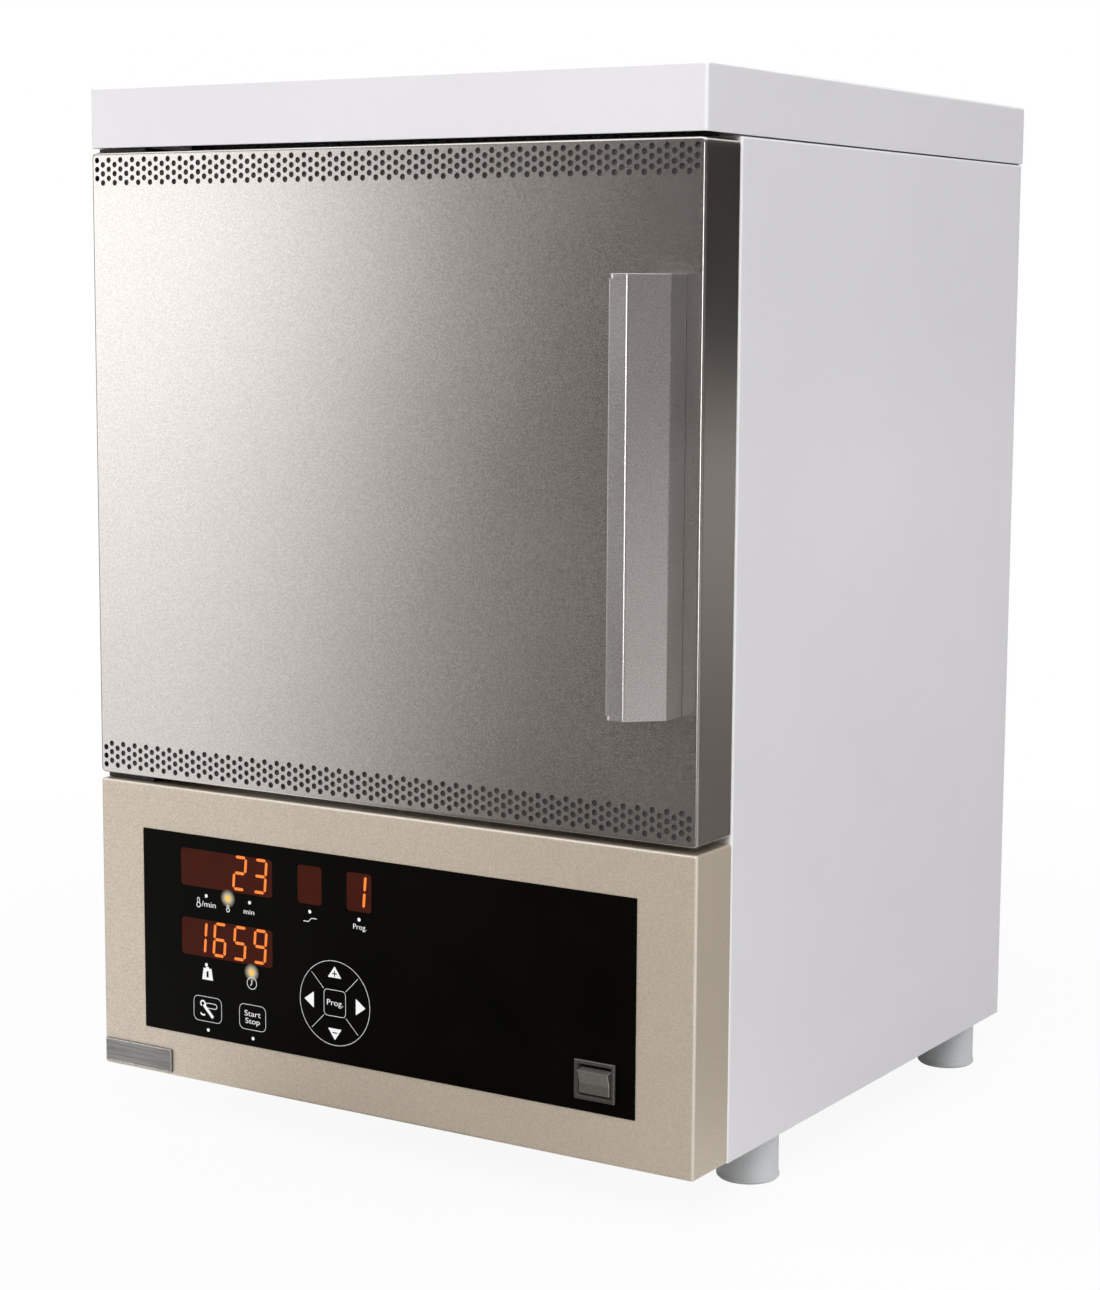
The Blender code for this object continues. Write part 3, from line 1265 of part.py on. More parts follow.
def main():
    make_feet()
    make_base_pan()
    make_side_panels()
    make_lid()
    make_rear_panel()
    make_front_frame()
    make_furnace_deck()

    make_inner_casing()
    make_insulation()
    make_hearth_plate()
    make_heating_elements()
    make_element_holders()
    make_thermocouple()

    make_door_seal()
    make_hinges()
    make_door_magnet()
    hinge = pivot("door_hinge_axis", (HINGE_X, HINGE_DEPTH, DOOR_MID), FRONT_PLANE)
    for obj in make_door() + make_handle():
        hang_on(obj, hinge)

    make_fascia()
    make_control_panel()
    make_keys()
    make_display_filter()
    make_control_board()
    make_badge_plate()
    make_switch_bezel()
    x, z = panel_point(SWITCH_SHARES)
    rocker_axis = pivot("rocker_axis", (x, ROCKER_PIVOT_Y, z), FRONT_PLANE)
    for obj in make_rocker():
        hang_on(obj, rocker_axis)

    make_transformer()
    make_power_controller()
    make_cooling_fan()
    make_mains_inlet()
    fan_axis = pivot("fan_axis", (FAN_X, FAN_FRONT, FAN_Z), FRONT_PLANE)
    for obj in make_fan_rotor():
        hang_on(obj, fan_axis)

    for obj in PARTS.objects:
        if obj.type != "EMPTY":
            finish_piece(obj)


main()
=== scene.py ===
# Looks of a bench-top dental lab furnace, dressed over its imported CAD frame.
import math

import bmesh
import bpy
import numpy as np
from mathutils import Euler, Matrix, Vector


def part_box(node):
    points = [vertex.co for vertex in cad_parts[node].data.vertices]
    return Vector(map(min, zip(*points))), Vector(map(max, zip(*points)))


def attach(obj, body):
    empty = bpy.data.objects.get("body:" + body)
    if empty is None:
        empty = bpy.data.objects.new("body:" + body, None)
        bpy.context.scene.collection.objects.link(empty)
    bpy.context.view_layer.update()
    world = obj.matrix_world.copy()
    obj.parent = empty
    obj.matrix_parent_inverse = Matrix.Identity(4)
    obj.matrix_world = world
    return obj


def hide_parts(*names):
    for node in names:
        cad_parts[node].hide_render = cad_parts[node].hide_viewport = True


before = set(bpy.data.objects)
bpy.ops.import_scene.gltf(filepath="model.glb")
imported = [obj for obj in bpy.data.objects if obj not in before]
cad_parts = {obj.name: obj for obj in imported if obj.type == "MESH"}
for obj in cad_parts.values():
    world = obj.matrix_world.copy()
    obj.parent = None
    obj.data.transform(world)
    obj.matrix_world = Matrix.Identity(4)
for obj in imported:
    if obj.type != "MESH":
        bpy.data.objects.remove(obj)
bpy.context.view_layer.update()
scene = bpy.context.scene
mm = 0.001
quarter = math.pi / 2
# pieces are worked out in millimetres, and addPiece turns them into metres
boxes = {name: np.array(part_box(name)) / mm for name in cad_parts}
print("frame loaded:", len(boxes), "nodes")


def boxOf(node):
    # a CAD node's low and high corners, its middle and its size
    low, high = boxes[node]
    return low, high, (low + high) / 2, high - low


def nodeMiddle(node):
    # the middle of its front, across and up
    return boxOf(node)[2][[0, 2]]


# Shader tools

def mathOperator(name, swapped=False):
    def apply(wire, other=0.0):
        return wire.math(name, other, wire) if swapped else wire.math(name, wire, other)
    return apply


class Wire:
    # a node's output; sums, differences, products and quotients add Math nodes
    def __init__(self, recipe, socket):
        self.recipe, self.socket = recipe, socket

    def math(self, operation, first, second=0.0):
        return self.recipe.node("Math", {"operation": operation}, {0: first, 1: second})

    __add__ = __radd__ = mathOperator("ADD")
    __sub__, __rsub__ = mathOperator("SUBTRACT"), mathOperator("SUBTRACT", True)
    __mul__ = __rmul__ = mathOperator("MULTIPLY")
    __truediv__, __lt__, __abs__ = map(mathOperator, ("DIVIDE", "LESS_THAN", "ABSOLUTE"))


class Recipe:
    # a node tree being written: node() makes any node, feed() gives a socket a value or a link
    def __init__(self, owner):
        owner.use_nodes = True
        self.owner, self.tree = owner, owner.node_tree
        self.shader = self.tree.nodes.get("Principled BSDF")
        if self.shader:
            self.place = self.node("TexCoord", output="Object")

    def node(self, kind, settings=(), inputs=(), output=0):
        made = self.tree.nodes.new("ShaderNode" + kind)
        for name, value in dict(settings).items():
            if name == "stops":
                ramp = made.color_ramp
                while len(ramp.elements) < len(value):
                    ramp.elements.new(0.5)
                for element, (position, colour) in zip(ramp.elements, value):
                    element.position = position
                    element.color = (*colour, 1)
            else:
                setattr(made, name, value)
        for name, value in dict(inputs).items():
            self.feed(made.inputs[name], value)
        return Wire(self, made.outputs[output])

    def feed(self, socket, value):
        if isinstance(value, Wire):
            self.tree.links.new(value.socket, socket)
        else:
            short = socket.type == "RGBA" and len(value) == 3
            socket.default_value = (*value, 1) if short else value

    def surface(self, **values):
        for name, value in values.items():
            self.feed(self.shader.inputs[name.replace("_", " ")], value)
        return self.owner

    def outputs(self, kind, names, inputs=()):
        sockets = self.node(kind, (), inputs).socket.node.outputs
        return [Wire(self, sockets[name]) for name in names]

    def axes(self):
        return self.outputs("SeparateXYZ", "XYZ", {0: self.place})

    def noise(self, scale, detail=2.0, roughness=0.5, stretch=None):
        # cloudy pattern; scale is in cells per metre
        where = self.place
        if stretch:
            where = self.node("Mapping", (), {"Vector": where, "Scale": stretch})
        inputs = {"Vector": where, "Scale": scale, "Detail": detail, "Roughness": roughness}
        return self.node("TexNoise", (), inputs)

    def mix(self, factor, first, second):
        return self.node("Mix", {"data_type": "RGBA"}, {0: factor, 6: first, 7: second}, 2)

    def span(self, value, low, high, newLow=0.0, newHigh=1.0):
        # value's range low to high, stretched to newLow to newHigh and held there
        return self.node("MapRange", (), {0: value, 1: low, 2: high, 3: newLow, 4: newHigh})

    def attribute(self, name):
        # pieces without the attribute read as zero
        return self.node("Attribute", {"attribute_name": name}, output="Fac")

    def bump(self, height, depth):
        return self.node("Bump", (), {"Height": height, "Distance": depth * mm, "Strength": 1.0}, "Normal")

    def seen(self):
        # 1 for what shows to the camera, straight on, in a mirror or through glass
        camera, *others = self.outputs("LightPath", ("Is Camera Ray", "Is Glossy Ray", "Is Transmission Ray"))
        for other in others:
            camera = camera.math("MAXIMUM", camera, other)
        return camera


def newRecipe(name):
    return Recipe(bpy.data.materials.new(name))


# Finishes: colours are linear, pattern sizes in cells per metre, depths in millimetres

coats = {
    # light, dark and painted-highlight tone, peel and fleck size, share of flecks, depth, roughness, metallic, clear,
    # sheen
    "paleCoat": ((0.8, 0.785, 0.81), (0.752, 0.737, 0.765), (0.99, 0.985, 0.99), 620, 3200, 0.25, 0.035,
                 (0.4, 0.52), 0.0, 0.6, 0.5),
    "beigeCoat": ((0.7, 0.6, 0.472), (0.475, 0.404, 0.318), (0.9, 0.83, 0.74), 900, 1450, 0.8, 0.05,
                  (0.38, 0.5), 0.28, 1.0, 0.9),
}


def coatFinish(r, light, dark, highlightTone, peelSize, fleckSize, fleckShare, depth, rough, metallic, clear, sheen):
    # powder coat: orange-peel bumps, fine flecks of two tones and slow clouds of tone, with a painted highlight on
    # marked folds
    peel = r.noise(peelSize, 1.5)
    fleck = r.span(r.noise(fleckSize, 1.0), 0.36, 0.64)
    cloud = r.span(r.noise(7, 3.0), 0.3, 0.7)
    share = fleck * fleckShare + cloud * (1 - fleckShare)
    return r.surface(
        # painted highlight: the base colour turns to the highlight tone where a piece marks its folds
        Base_Color=r.mix(r.attribute("rub"), r.mix(share, dark, light), highlightTone),
        Roughness=r.span(peel, 0.3, 0.7, *rough), Metallic=fleck * metallic + metallic * 0.5, Coat_Weight=clear,
        Coat_Roughness=0.25, Specular_IOR_Level=sheen, Normal=r.bump(peel + fleck * 0.2, depth))


metals = {
    # light and dark tone, grain and fine size, roughness, depth, stretch of the grain, metallic
    "satinSteel": ((0.669, 0.636, 0.615), (0.537, 0.508, 0.491), 1400, 3600, (0.19, 0.24), 0.006, None, (1.0, 0.955)),
    "handleAluminium": ((0.818, 0.79, 0.788), (0.63, 0.607, 0.605), 1300, 5200, (0.26, 0.31), 0.006, None,
                        (0.975, 0.915)),
    "zincPlate": ((0.64, 0.645, 0.64), (0.54, 0.548, 0.555), 110, 900, (0.3, 0.46), 0.01, None, (0.62, 0.58)),
    "brushedSteel": ((0.27, 0.262, 0.248), (0.18, 0.174, 0.164), 1500, 4200, (0.26, 0.36), 0.01, (0.02, 1, 1)),
    "screwSteel": ((0.62, 0.615, 0.6), (0.42, 0.415, 0.4), 400, 2500, (0.24, 0.38), 0.01),
    # near black though the hinge brackets are zinc plated: painted shade for the brackets and the gap strip
    "paintedShadeSteel": ((0.06, 0.058, 0.056), (0.036, 0.035, 0.034), 300, 2500, (0.36, 0.5), 0.012),
    "sinkAluminium": ((0.56, 0.565, 0.575), (0.44, 0.445, 0.455), 700, 3000, (0.3, 0.44), 0.01, (1, 1, 0.02)),
}


def metalFinish(r, light, dark, grainSize, fineSize, rough, depth, stretch=None, metallic=None):
    # metal whose tone, gloss and tiny dents come from two sizes of grain and a slow cloud
    grain, fine = r.noise(grainSize, 2.5, 0.6, stretch), r.noise(fineSize, 1.0, 0.5, stretch)
    cloud = r.noise(9, 2.0)
    tone = r.span(grain * 0.75 + fine * 0.15 + cloud * 0.1, 0.42, 0.58)
    return r.surface(
        Base_Color=r.mix(tone, dark, light), Metallic=r.span(tone, 0, 1, *metallic) if metallic else 1.0,
        Roughness=r.span(fine * 0.6 + cloud * 0.4, 0.35, 0.65, *rough),
        Normal=r.bump(grain * 0.5 + fine * 0.5, depth))


plastics = {
    # light and dark tone, grain size, roughness, depth, painted-highlight tone, specular, height below which painted
    # shade darkens it
    "footPlastic": ((0.69, 0.71, 0.72), (0.61, 0.63, 0.64), 1200, (0.46, 0.58), 0.02),
    "bezelPlastic": ((0.066, 0.06, 0.053), (0.05, 0.045, 0.038), 1800, (0.22, 0.3), 0.01, (0.3, 0.29, 0.27)),
    "rockerPlastic": ((0.15, 0.14, 0.127), (0.124, 0.115, 0.103), 1500, (0.22, 0.3), 0.01,
                      (0.56, 0.54, 0.51), 0.5, 72.0),
    "panelFilm": ((0.0026, 0.0023, 0.0017), (0.0016, 0.0014, 0.001), 2200, (0.34, 0.42), 0.004, None, 0.04),
    "fanPlastic": ((0.022, 0.022, 0.024), (0.014, 0.014, 0.016), 1500, (0.36, 0.5), 0.015),
    "inletPlastic": ((0.02, 0.02, 0.021), (0.012, 0.012, 0.013), 2000, (0.3, 0.44), 0.015),
    "ventPaint": ((0.185, 0.176, 0.17), (0.13, 0.124, 0.12), 700, (0.5, 0.64), 0.02),
    "magnetFerrite": ((0.05, 0.05, 0.054), (0.03, 0.03, 0.033), 900, (0.5, 0.66), 0.04),
}


def plasticFinish(r, light, dark, grain, rough, depth, highlightTone=None, specular=0.5, shadedBelow=None):
    # moulded plastic: a fine mould texture, a faint sink-mark cloud and two near tones, with painted shade below a
    # height and a painted highlight on marked folds
    mould, cloud = r.noise(grain, 2.0), r.noise(25, 2.0)
    tone = r.mix(r.span(mould * 0.5 + cloud * 0.5, 0.4, 0.6), dark, light)
    # painted shade: below the given height the tone turns darker, for the face that tilts away from the light
    if shadedBelow:
        shade = r.span(r.axes()[2], (shadedBelow - 0.3) * mm, (shadedBelow + 0.3) * mm)
        tone = r.mix(shade, tuple(0.8 * value for value in dark), tone)
    # painted highlight: the base colour turns to the highlight tone where a piece marks its folds
    return r.surface(
        Base_Color=r.mix(r.attribute("rub"), tone, highlightTone or light), Roughness=r.span(mould, 0.35, 0.65, *rough),
        Specular_IOR_Level=specular, Normal=r.bump(mould + cloud * 0.6, depth))


ceramics = {
    # light and dark tone, pore and fine size, roughness, depth
    "fibreBoard": ((0.86, 0.835, 0.78), (0.7, 0.655, 0.58), 260, 1700, (0.88, 0.98), 0.22),
    "hearthCeramic": ((0.84, 0.815, 0.76), (0.72, 0.675, 0.595), 420, 2400, (0.55, 0.72), 0.06),
    "ropeFibre": ((0.82, 0.8, 0.75), (0.56, 0.53, 0.47), 700, 2600, (0.86, 0.97), 0.3),
}


def ceramicFinish(r, light, dark, poreSize, fineSize, rough, depth):
    # fired ceramic: open pores of many sizes, a warm tint where heat has worked on it
    pore, fine = r.noise(poreSize, 5.0, 0.65), r.noise(fineSize, 2.0)
    heat = r.span(r.noise(14, 3.0), 0.35, 0.7)
    return r.surface(
        Base_Color=r.mix(r.span(pore, 0.36, 0.6) * 0.6 + (1 - heat) * 0.4, dark, light),
        Roughness=r.span(fine, 0.3, 0.7, *rough), Normal=r.bump(pore + fine * 0.4, depth))


def rodFinish(r):
    # heating element: dark glazed rod, streaky in its tone, its metallic sheen and its gloss
    glaze = r.noise(500, 3.0, 0.6, (1, 1, 0.25))
    return r.surface(
        Base_Color=r.mix(r.span(glaze, 0.35, 0.65), (0.055, 0.05, 0.048), (0.15, 0.138, 0.13)),
        Metallic=r.span(glaze, 0.4, 0.7, 0.35, 0.75), Roughness=r.span(glaze, 0.3, 0.7, 0.3, 0.52),
        Normal=r.bump(glaze, 0.03))


def filterFinish(r):
    # dark red acrylic: smooth, with a faint haze
    haze = r.noise(90, 2.0)
    return r.surface(
        Base_Color=r.mix(r.span(haze, 0.35, 0.65), (0.054, 0.0098, 0.0048), (0.058, 0.0108, 0.0053)),
        Roughness=r.span(haze, 0.3, 0.7, 0.28, 0.34), Specular_IOR_Level=0.05,
        Normal=r.bump(r.noise(2600, 1.0), 0.003))


def boardFinish(r):
    # circuit board: green mask over tracks that show as slightly lighter lines, and bare pads
    tracks = r.node("TexBrick", {"offset": 0.35, "squash": 0.6, "squash_frequency": 3}, {
        "Vector": r.node("Mapping", (), {"Vector": r.place, "Rotation": (quarter, 0, 0)}),
        "Scale": 130.0, "Mortar Size": 0.05, "Color1": (0.01, 0.085, 0.03), "Color2": (0.013, 0.1, 0.036),
        "Mortar": (0.03, 0.17, 0.065), "Brick Width": 0.9, "Row Height": 0.35}, "Color")
    bare = r.node("TexVoronoi", {"feature": "F1"}, {"Vector": r.place, "Scale": 210.0}) < 0.16
    return r.surface(
        Base_Color=r.mix(bare, tracks, (0.64, 0.6, 0.48)), Metallic=bare,
        Roughness=r.span(r.noise(300), 0.3, 0.7, 0.26, 0.4), Normal=r.bump(bare + r.noise(900) * 0.2, 0.03))


def coreFinish(r):
    # transformer: thin laminations on the iron, darker varnished tape over the coil
    _, deep, upright = r.axes()
    onCore = abs(deep - float(boxOf("transformer")[2][1] * mm)) < 0.0252
    sheets, wrap = (r.node("Math", {"operation": "PINGPONG"}, {0: along, 1: pitch}) / pitch
                    for along, pitch in ((deep, 0.00025), (upright, 0.0035)))
    iron = r.mix(sheets, (0.105, 0.105, 0.112), (0.2, 0.2, 0.208))
    tape = r.mix(r.span(wrap, 0.0, 0.12), (0.2, 0.085, 0.012), (0.55, 0.27, 0.045))
    return r.surface(
        Base_Color=r.mix(onCore, tape, iron), Metallic=onCore * 0.6,
        Roughness=r.span(r.noise(240), 0.3, 0.7, 0.34, 0.52),
        Normal=r.bump(sheets * onCore + wrap * (1 - onCore), 0.05))


def inkFinish(r):
    # screen-printed white ink: slightly grey, with a faint mesh in its thickness and a faint painted glow that lifts
    # it towards white
    mesh = r.noise(2600, 1.0)
    return r.surface(
        Base_Color=r.mix(r.span(mesh, 0.35, 0.65), (0.84, 0.84, 0.835), (0.9, 0.9, 0.895)),
        Emission_Color=(1, 1, 1), Emission_Strength=0.14, Roughness=r.span(mesh, 0.3, 0.7, 0.48, 0.62),
        Normal=r.bump(mesh, 0.004))


glows = {"digitGlow": ((0.3, 0.05, 0.01), (1.0, 0.235, 0.02)), "lampAmber": ((0.4, 0.2, 0.03), (0.86, 0.46, 0.05))}


def glowFinish(r, base, glow):
    # lit plastic: the light comes from inside it, a little stronger in cloudy patches
    cloud = r.span(r.noise(700, 1.0), 0.3, 0.7)
    dim = tuple(0.9 * value for value in glow)
    return r.surface(Base_Color=base, Emission_Color=r.mix(cloud, dim, glow), Emission_Strength=0.95,
                     Roughness=r.span(cloud, 0.0, 1.0, 0.35, 0.45))


def hazeFinish(r):
    # glare round a lit lamp: shows less the further out, by the piece's own fade attribute
    soft = r.span(r.attribute("fade"), 0.0, 0.55) * (0.9 + r.noise(900) * 0.2)
    return r.surface(Base_Color=(0.1, 0.09, 0.07), Alpha=soft * 0.92, Emission_Strength=0.8,
                     Emission_Color=r.mix(soft, (0.3, 0.27, 0.21), (0.56, 0.5, 0.36)))


makers = (
    (coatFinish, coats), (metalFinish, metals), (plasticFinish, plastics), (ceramicFinish, ceramics),
    (glowFinish, glows), (rodFinish, {"elementRod": ()}), (filterFinish, {"redFilter": ()}),
    (boardFinish, {"circuitBoard": ()}), (coreFinish, {"transformerCore": ()}), (inkFinish, {"printInk": ()}),
    (hazeFinish, {"lampHaze": ()}),
)
finishes = {name: make(newRecipe(name), *values) for make, table in makers for name, values in table.items()}
print("finishes made:", len(finishes))

# each finish: the record's slot behind it, then how the names of the CAD nodes that wear it begin
wearers = {finish: words.split() for finish, words in {
    "paleCoat": "pale_powder_coat lid side_panel",
    "beigeCoat": "beige_powder_coat fascia",
    "satinSteel": "satin_steel front_frame door_skin door_back",
    "handleAluminium": "satin_aluminium door_handle handle_cap",
    "sinkAluminium": "satin_aluminium power_controller",
    "zincPlate": "zinc_plate rear_panel base_pan furnace_deck inner_casing",
    "screwSteel": "zinc_plate handle_screw hinge_pin",
    "paintedShadeSteel": "zinc_plate hinge_bracket",
    "brushedSteel": "zinc_plate badge_plate",
    "fibreBoard": "white_fibre insulation door_core door_plug",
    "ropeFibre": "white_fibre door_seal",
    "hearthCeramic": "alumina hearth_plate element_holder thermocouple",
    "elementRod": "element_rod heating_element",
    "magnetFerrite": "dark_core door_magnet",
    "transformerCore": "dark_core transformer",
    "inletPlastic": "dark_plastic door_sensor mains_inlet",
    "bezelPlastic": "dark_plastic switch_bezel",
    "fanPlastic": "dark_plastic fan_",
    "rockerPlastic": "grey_plastic power_rocker",
    "footPlastic": "grey_plastic foot",
    "panelFilm": "black_panel control_panel key",
    "redFilter": "red_filter display_filter",
    "circuitBoard": "green_board control_board",
    "printInk": "print_white",
    "digitGlow": "display_glow",
    "lampAmber": "display_glow",
    "lampHaze": "display_glow",
    "ventPaint": "satin_steel",
}.items()}


def finishOf(node):
    return next(finish for finish, (_, *starts) in wearers.items() if node.startswith(tuple(starts)))


for nodeName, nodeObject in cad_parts.items():
    for nodeSlot in nodeObject.material_slots:
        nodeSlot.material = finishes[finishOf(nodeName)]
print("CAD nodes finished")


# Surface tools: shapes are worked out in local (across, up, deep) and then turned to face an axis

def facing(points, axis):
    # local (u, v, w) to world: w runs along the axis, u and v span the plane across it
    u, v, w = np.moveaxis(np.asarray(points, float), -1, 0)
    return np.stack({"Y": (u, w, v), "Z": (u, v, w), "X": (w, u, v)}[axis], -1)


def unit(vectors):
    return vectors / np.linalg.norm(vectors, axis=-1, keepdims=True)


def around(turns):
    return np.stack((np.cos(turns), np.sin(turns)), -1)


def fullTurn(steps):
    return np.arange(steps) * 2 * math.pi / steps


def gridFaces(rows, columns, closed=False):
    # quads between neighbours of a rows by columns grid; closed joins the last column to the first
    across = np.arange(columns if closed else columns - 1)
    first = np.arange(rows - 1)[:, None] * columns + across
    second = np.arange(rows - 1)[:, None] * columns + (across + 1) % columns
    return np.stack((first, second, second + columns, first + columns), -1).reshape(-1, 4)


def loft(rings, caps=True):
    # rings is an array (ring, point, 3): quads join each ring to the next, flat faces close the two ends
    rings = np.asarray(rings, float)
    rows, columns = rings.shape[:2]
    faces = gridFaces(rows, columns, closed=True).tolist()
    if caps:
        faces += [list(range(columns))[::-1], list(range((rows - 1) * columns, rows * columns))]
    return rings.reshape(-1, 3), faces


def level(outline, height):
    return np.column_stack((outline, np.full(len(outline), height)))


def stacked(levels, axis="Y", caps=True):
    # (outline, height) pairs lofted along an axis
    return loft(facing([level(*pair) for pair in levels], axis), caps)


def merged(*shapes):
    # several (points, faces) as one
    starts = np.cumsum([0] + [len(points) for points, _ in shapes]).tolist()
    faces = [[index + start for index in face] for start, (_, group) in zip(starts, shapes) for face in group]
    return np.concatenate([points for points, _ in shapes]), faces


def fillet(points, radius, steps=6, guard=0.0):
    # each corner of a closed outline becomes an arc: round its centre the start and end directions are
    # blended by sin((1 - t) turn) and sin(t turn) over sin(turn); guard adds a point before and after
    corners = np.asarray(points, float)
    before, after = (unit(np.roll(corners, shift, 0) - corners) for shift in (1, -1))
    half = np.arccos(np.clip((before * after).sum(1), -1, 1))[:, None] / 2
    radius = np.broadcast_to(radius, len(corners))[:, None]
    reach, turn, t = radius / np.tan(half), math.pi - 2 * half, np.linspace(0, 1, steps + 1)
    centre = corners + unit(before + after) * radius / np.sin(half)
    arcs = centre[:, None]
    for share, way in ((1 - t, before), (t, after)):
        arcs = arcs + (np.sin(share * turn) / np.sin(turn))[..., None] * (corners + way * reach - centre)[:, None]
    if guard:
        lead, tail = ((corners + way * (reach + guard))[:, None] for way in (before, after))
        arcs = np.concatenate((lead, arcs, tail), 1)
    return arcs.reshape(-1, 2)


def rectangle(middle, width, height):
    signs = np.array(((-1, -1), (1, -1), (1, 1), (-1, 1)))
    return np.asarray(middle) + signs * (width / 2, height / 2)


def roundedBox(middle, width, height, radius, steps=6):
    return fillet(rectangle(middle, width, height), radius, steps)


def nestedBoxes(node, rows, steps=6):
    # rounded boxes inside a node's, given as rows of inset, depth and corner radius, lofted along y
    _, _, middle, size = boxOf(node)
    return stacked([(roundedBox(middle[[0, 2]], size[0] - 2 * inset, size[2] - 2 * inset, corner, steps), y)
                    for inset, y, corner in rows])


def circle(middle, radius, steps=48):
    return np.asarray(middle) + radius * around(fullTurn(steps))


def grown(outline, amount):
    # every point moves along the mean of its two edges' outward normals, so that edges shift by the amount
    edge = unit(np.roll(outline, -1, 0) - outline)
    area = (outline[:, 0] * np.roll(outline[:, 1], -1) - outline[:, 1] * np.roll(outline[:, 0], -1)).sum()
    normal = np.stack((edge[:, 1], -edge[:, 0]), -1) * math.copysign(1, area)
    mean = unit(normal + np.roll(normal, 1, 0))
    return outline + amount * mean / np.maximum((mean * normal).sum(1), 0.3)[:, None]


def rounding(radius, steps):
    # inset and depth along a quarter circle, from the flat end of a rounded edge to its side
    t = np.linspace(0, quarter, steps + 1)
    return radius * (1 - np.sin(t)), radius * (1 - np.cos(t))


def plate(outline, near, far, edge=0.0, steps=3, axis="Y"):
    # an outline carried from near to far, shrinking at both ends along a quarter circle of radius edge
    insets, depths = (0, 0), (near, far)
    if edge:
        inset, depth = rounding(edge, steps)
        guard = min(edge * 1.5, (far - near) * 0.49)
        insets = np.concatenate(([edge * 2.2], inset, [0, 0], inset[::-1], [edge * 2.2]))
        depths = np.concatenate(([near], near + depth, [near + guard, far - guard], far - depth[::-1], [far]))
    return stacked([(grown(outline, -inset), depth) for inset, depth in zip(insets, depths)], axis)


def turned(profile, middle, axis="Z", steps=96):
    # (radius, height) points turned about an axis through middle
    radius, height = np.asarray(profile, float).T[..., None]
    turns = fullTurn(steps)
    rings = np.stack(np.broadcast_arrays(radius * np.cos(turns), radius * np.sin(turns), height), -1)
    points, faces = loft(facing(rings, axis), caps=False)
    return points + np.asarray(middle), faces


def roundedProfile(points, radius, steps=4):
    # an open (radius, height) profile whose inner corners become arcs
    points = np.asarray(points, float)
    closed = fillet(points, radius, steps, 0.25 * radius)
    return np.concatenate((points[:1], closed[steps + 3:-steps - 3], points[-1:]))


def tube(path, radii, steps=20, up=(1, 0, 0)):
    # a circle carried along a path: at each point it stands across the tangent; ends closed flat
    path, turns = np.asarray(path, float), fullTurn(steps)[:, None]
    tangent = unit(np.gradient(path, axis=0))
    side = unit(np.cross(tangent, up))
    other = np.cross(side, tangent)
    swing = side[:, None] * np.cos(turns) + other[:, None] * np.sin(turns)
    return loft(path[:, None] + np.asarray(radii)[:, None, None] * swing)


def foldedSheet(node, sheet, fold, corner, lines=None, holes=(), windows=(), axis="Y", steps=6):
    # a node's box as folded sheet metal, open at the back. Its flat face is a grid on two sets of lines,
    # with round holes and rectangular windows left out of it. Rings of rounded rectangles carry its
    # border round the fold (a quarter circle), down the wall, over the rim and back inside.
    low, high, middle, size = boxOf(node)
    plane, deep = ([0, 2], 1) if axis == "Y" else ([0, 1], 2)
    half, depth, guard = size[plane] / 2, size[deep], fold + 0.4
    lines = lines or [(low[i] + guard, high[i] - guard) for i in plane]
    flat = np.stack(np.meshgrid(*lines), -1) - middle[plane]
    rows, columns = flat.shape[:2]
    solid = np.ones((rows - 1, columns - 1), bool)
    for a0, a1, b0, b1, *_ in [*holes, *windows]:
        solid[b0:b1, a0:a1] = False
    quads = gridFaces(rows, columns).reshape(rows - 1, columns - 1, 4)[solid].tolist()
    shapes = [(level(flat.reshape(-1, 2), w), quads) for w in (0.0, sheet)]
    for a0, a1, b0, b1, *hole in [*holes, *windows]:
        # grid points round the block, anticlockwise from its first corner
        rim = np.concatenate((flat[b0, a0:a1], flat[b0:b1, a1], flat[b1, a1:a0:-1], flat[b1:b0:-1, a0]))
        levels = [(rim, 0), (rim, sheet)]
        if hole:
            centre = hole[0] - middle[plane]
            inner = centre + hole[1] * unit(rim - centre)
            levels[1:1] = [(inner, 0), (inner, sheet)]
        shapes.append(stacked(levels, "Z", caps=False))

    # border loop: each grid point has a direction in which the rings leave it; corners fan out
    fan, way, base, leave = np.linspace(0, 1, 4)[1:-1, None], np.array((0, -1)), [], []
    for side in (flat[0], flat[:, -1], flat[-1, ::-1], flat[::-1, 0]):
        following = np.array((-way[1], way[0]))
        diagonal = way + following
        turns = np.concatenate((way + fan * following, [diagonal], diagonal - fan * way))
        base.append(np.concatenate((side, np.repeat(side[-1:], len(turns), 0))))
        leave.append(np.concatenate((np.repeat(way[None], len(side), 0), turns)))
        way = following
    base, leave = np.concatenate(base), np.concatenate(leave)
    edge = np.where(leave < 0, flat[0, 0], flat[-1, -1])

    def ring(inset):
        spot = base + np.abs(leave) * (np.sign(leave) * (half - inset) - edge)
        centre = half - corner
        away = np.abs(spot) - centre
        inCorner = (away > 0).all(1)
        reach = np.where(inCorner, np.linalg.norm(away, axis=1), 1)[:, None]
        rounded = np.sign(spot) * (centre + away / reach * (corner - inset))
        return np.where((inCorner & (corner > inset))[:, None], rounded, spot)

    rim, inner = 0.25 * sheet, max(fold - sheet, 0.3)
    profile = [*zip(*rounding(fold, steps)), (0, fold + 0.5), (0, depth - 3 * rim), (0, depth - rim), (rim, depth),
               (sheet - rim, depth), (sheet, depth - rim), (sheet, sheet + inner)]
    inset, drop = rounding(inner, steps)
    profile += zip(sheet + drop[1:], sheet + inset[1:])
    levels = [(base, 0), *((ring(inset), w) for inset, w in profile), (base, sheet)]
    points, faces = merged(*shapes, stacked(levels, "Z", caps=False))
    if axis == "Y":
        return facing(points, "Y") + (middle[0], low[1], middle[2]), faces
    return points * (1, 1, -1) + (middle[0], middle[1], high[2]), faces


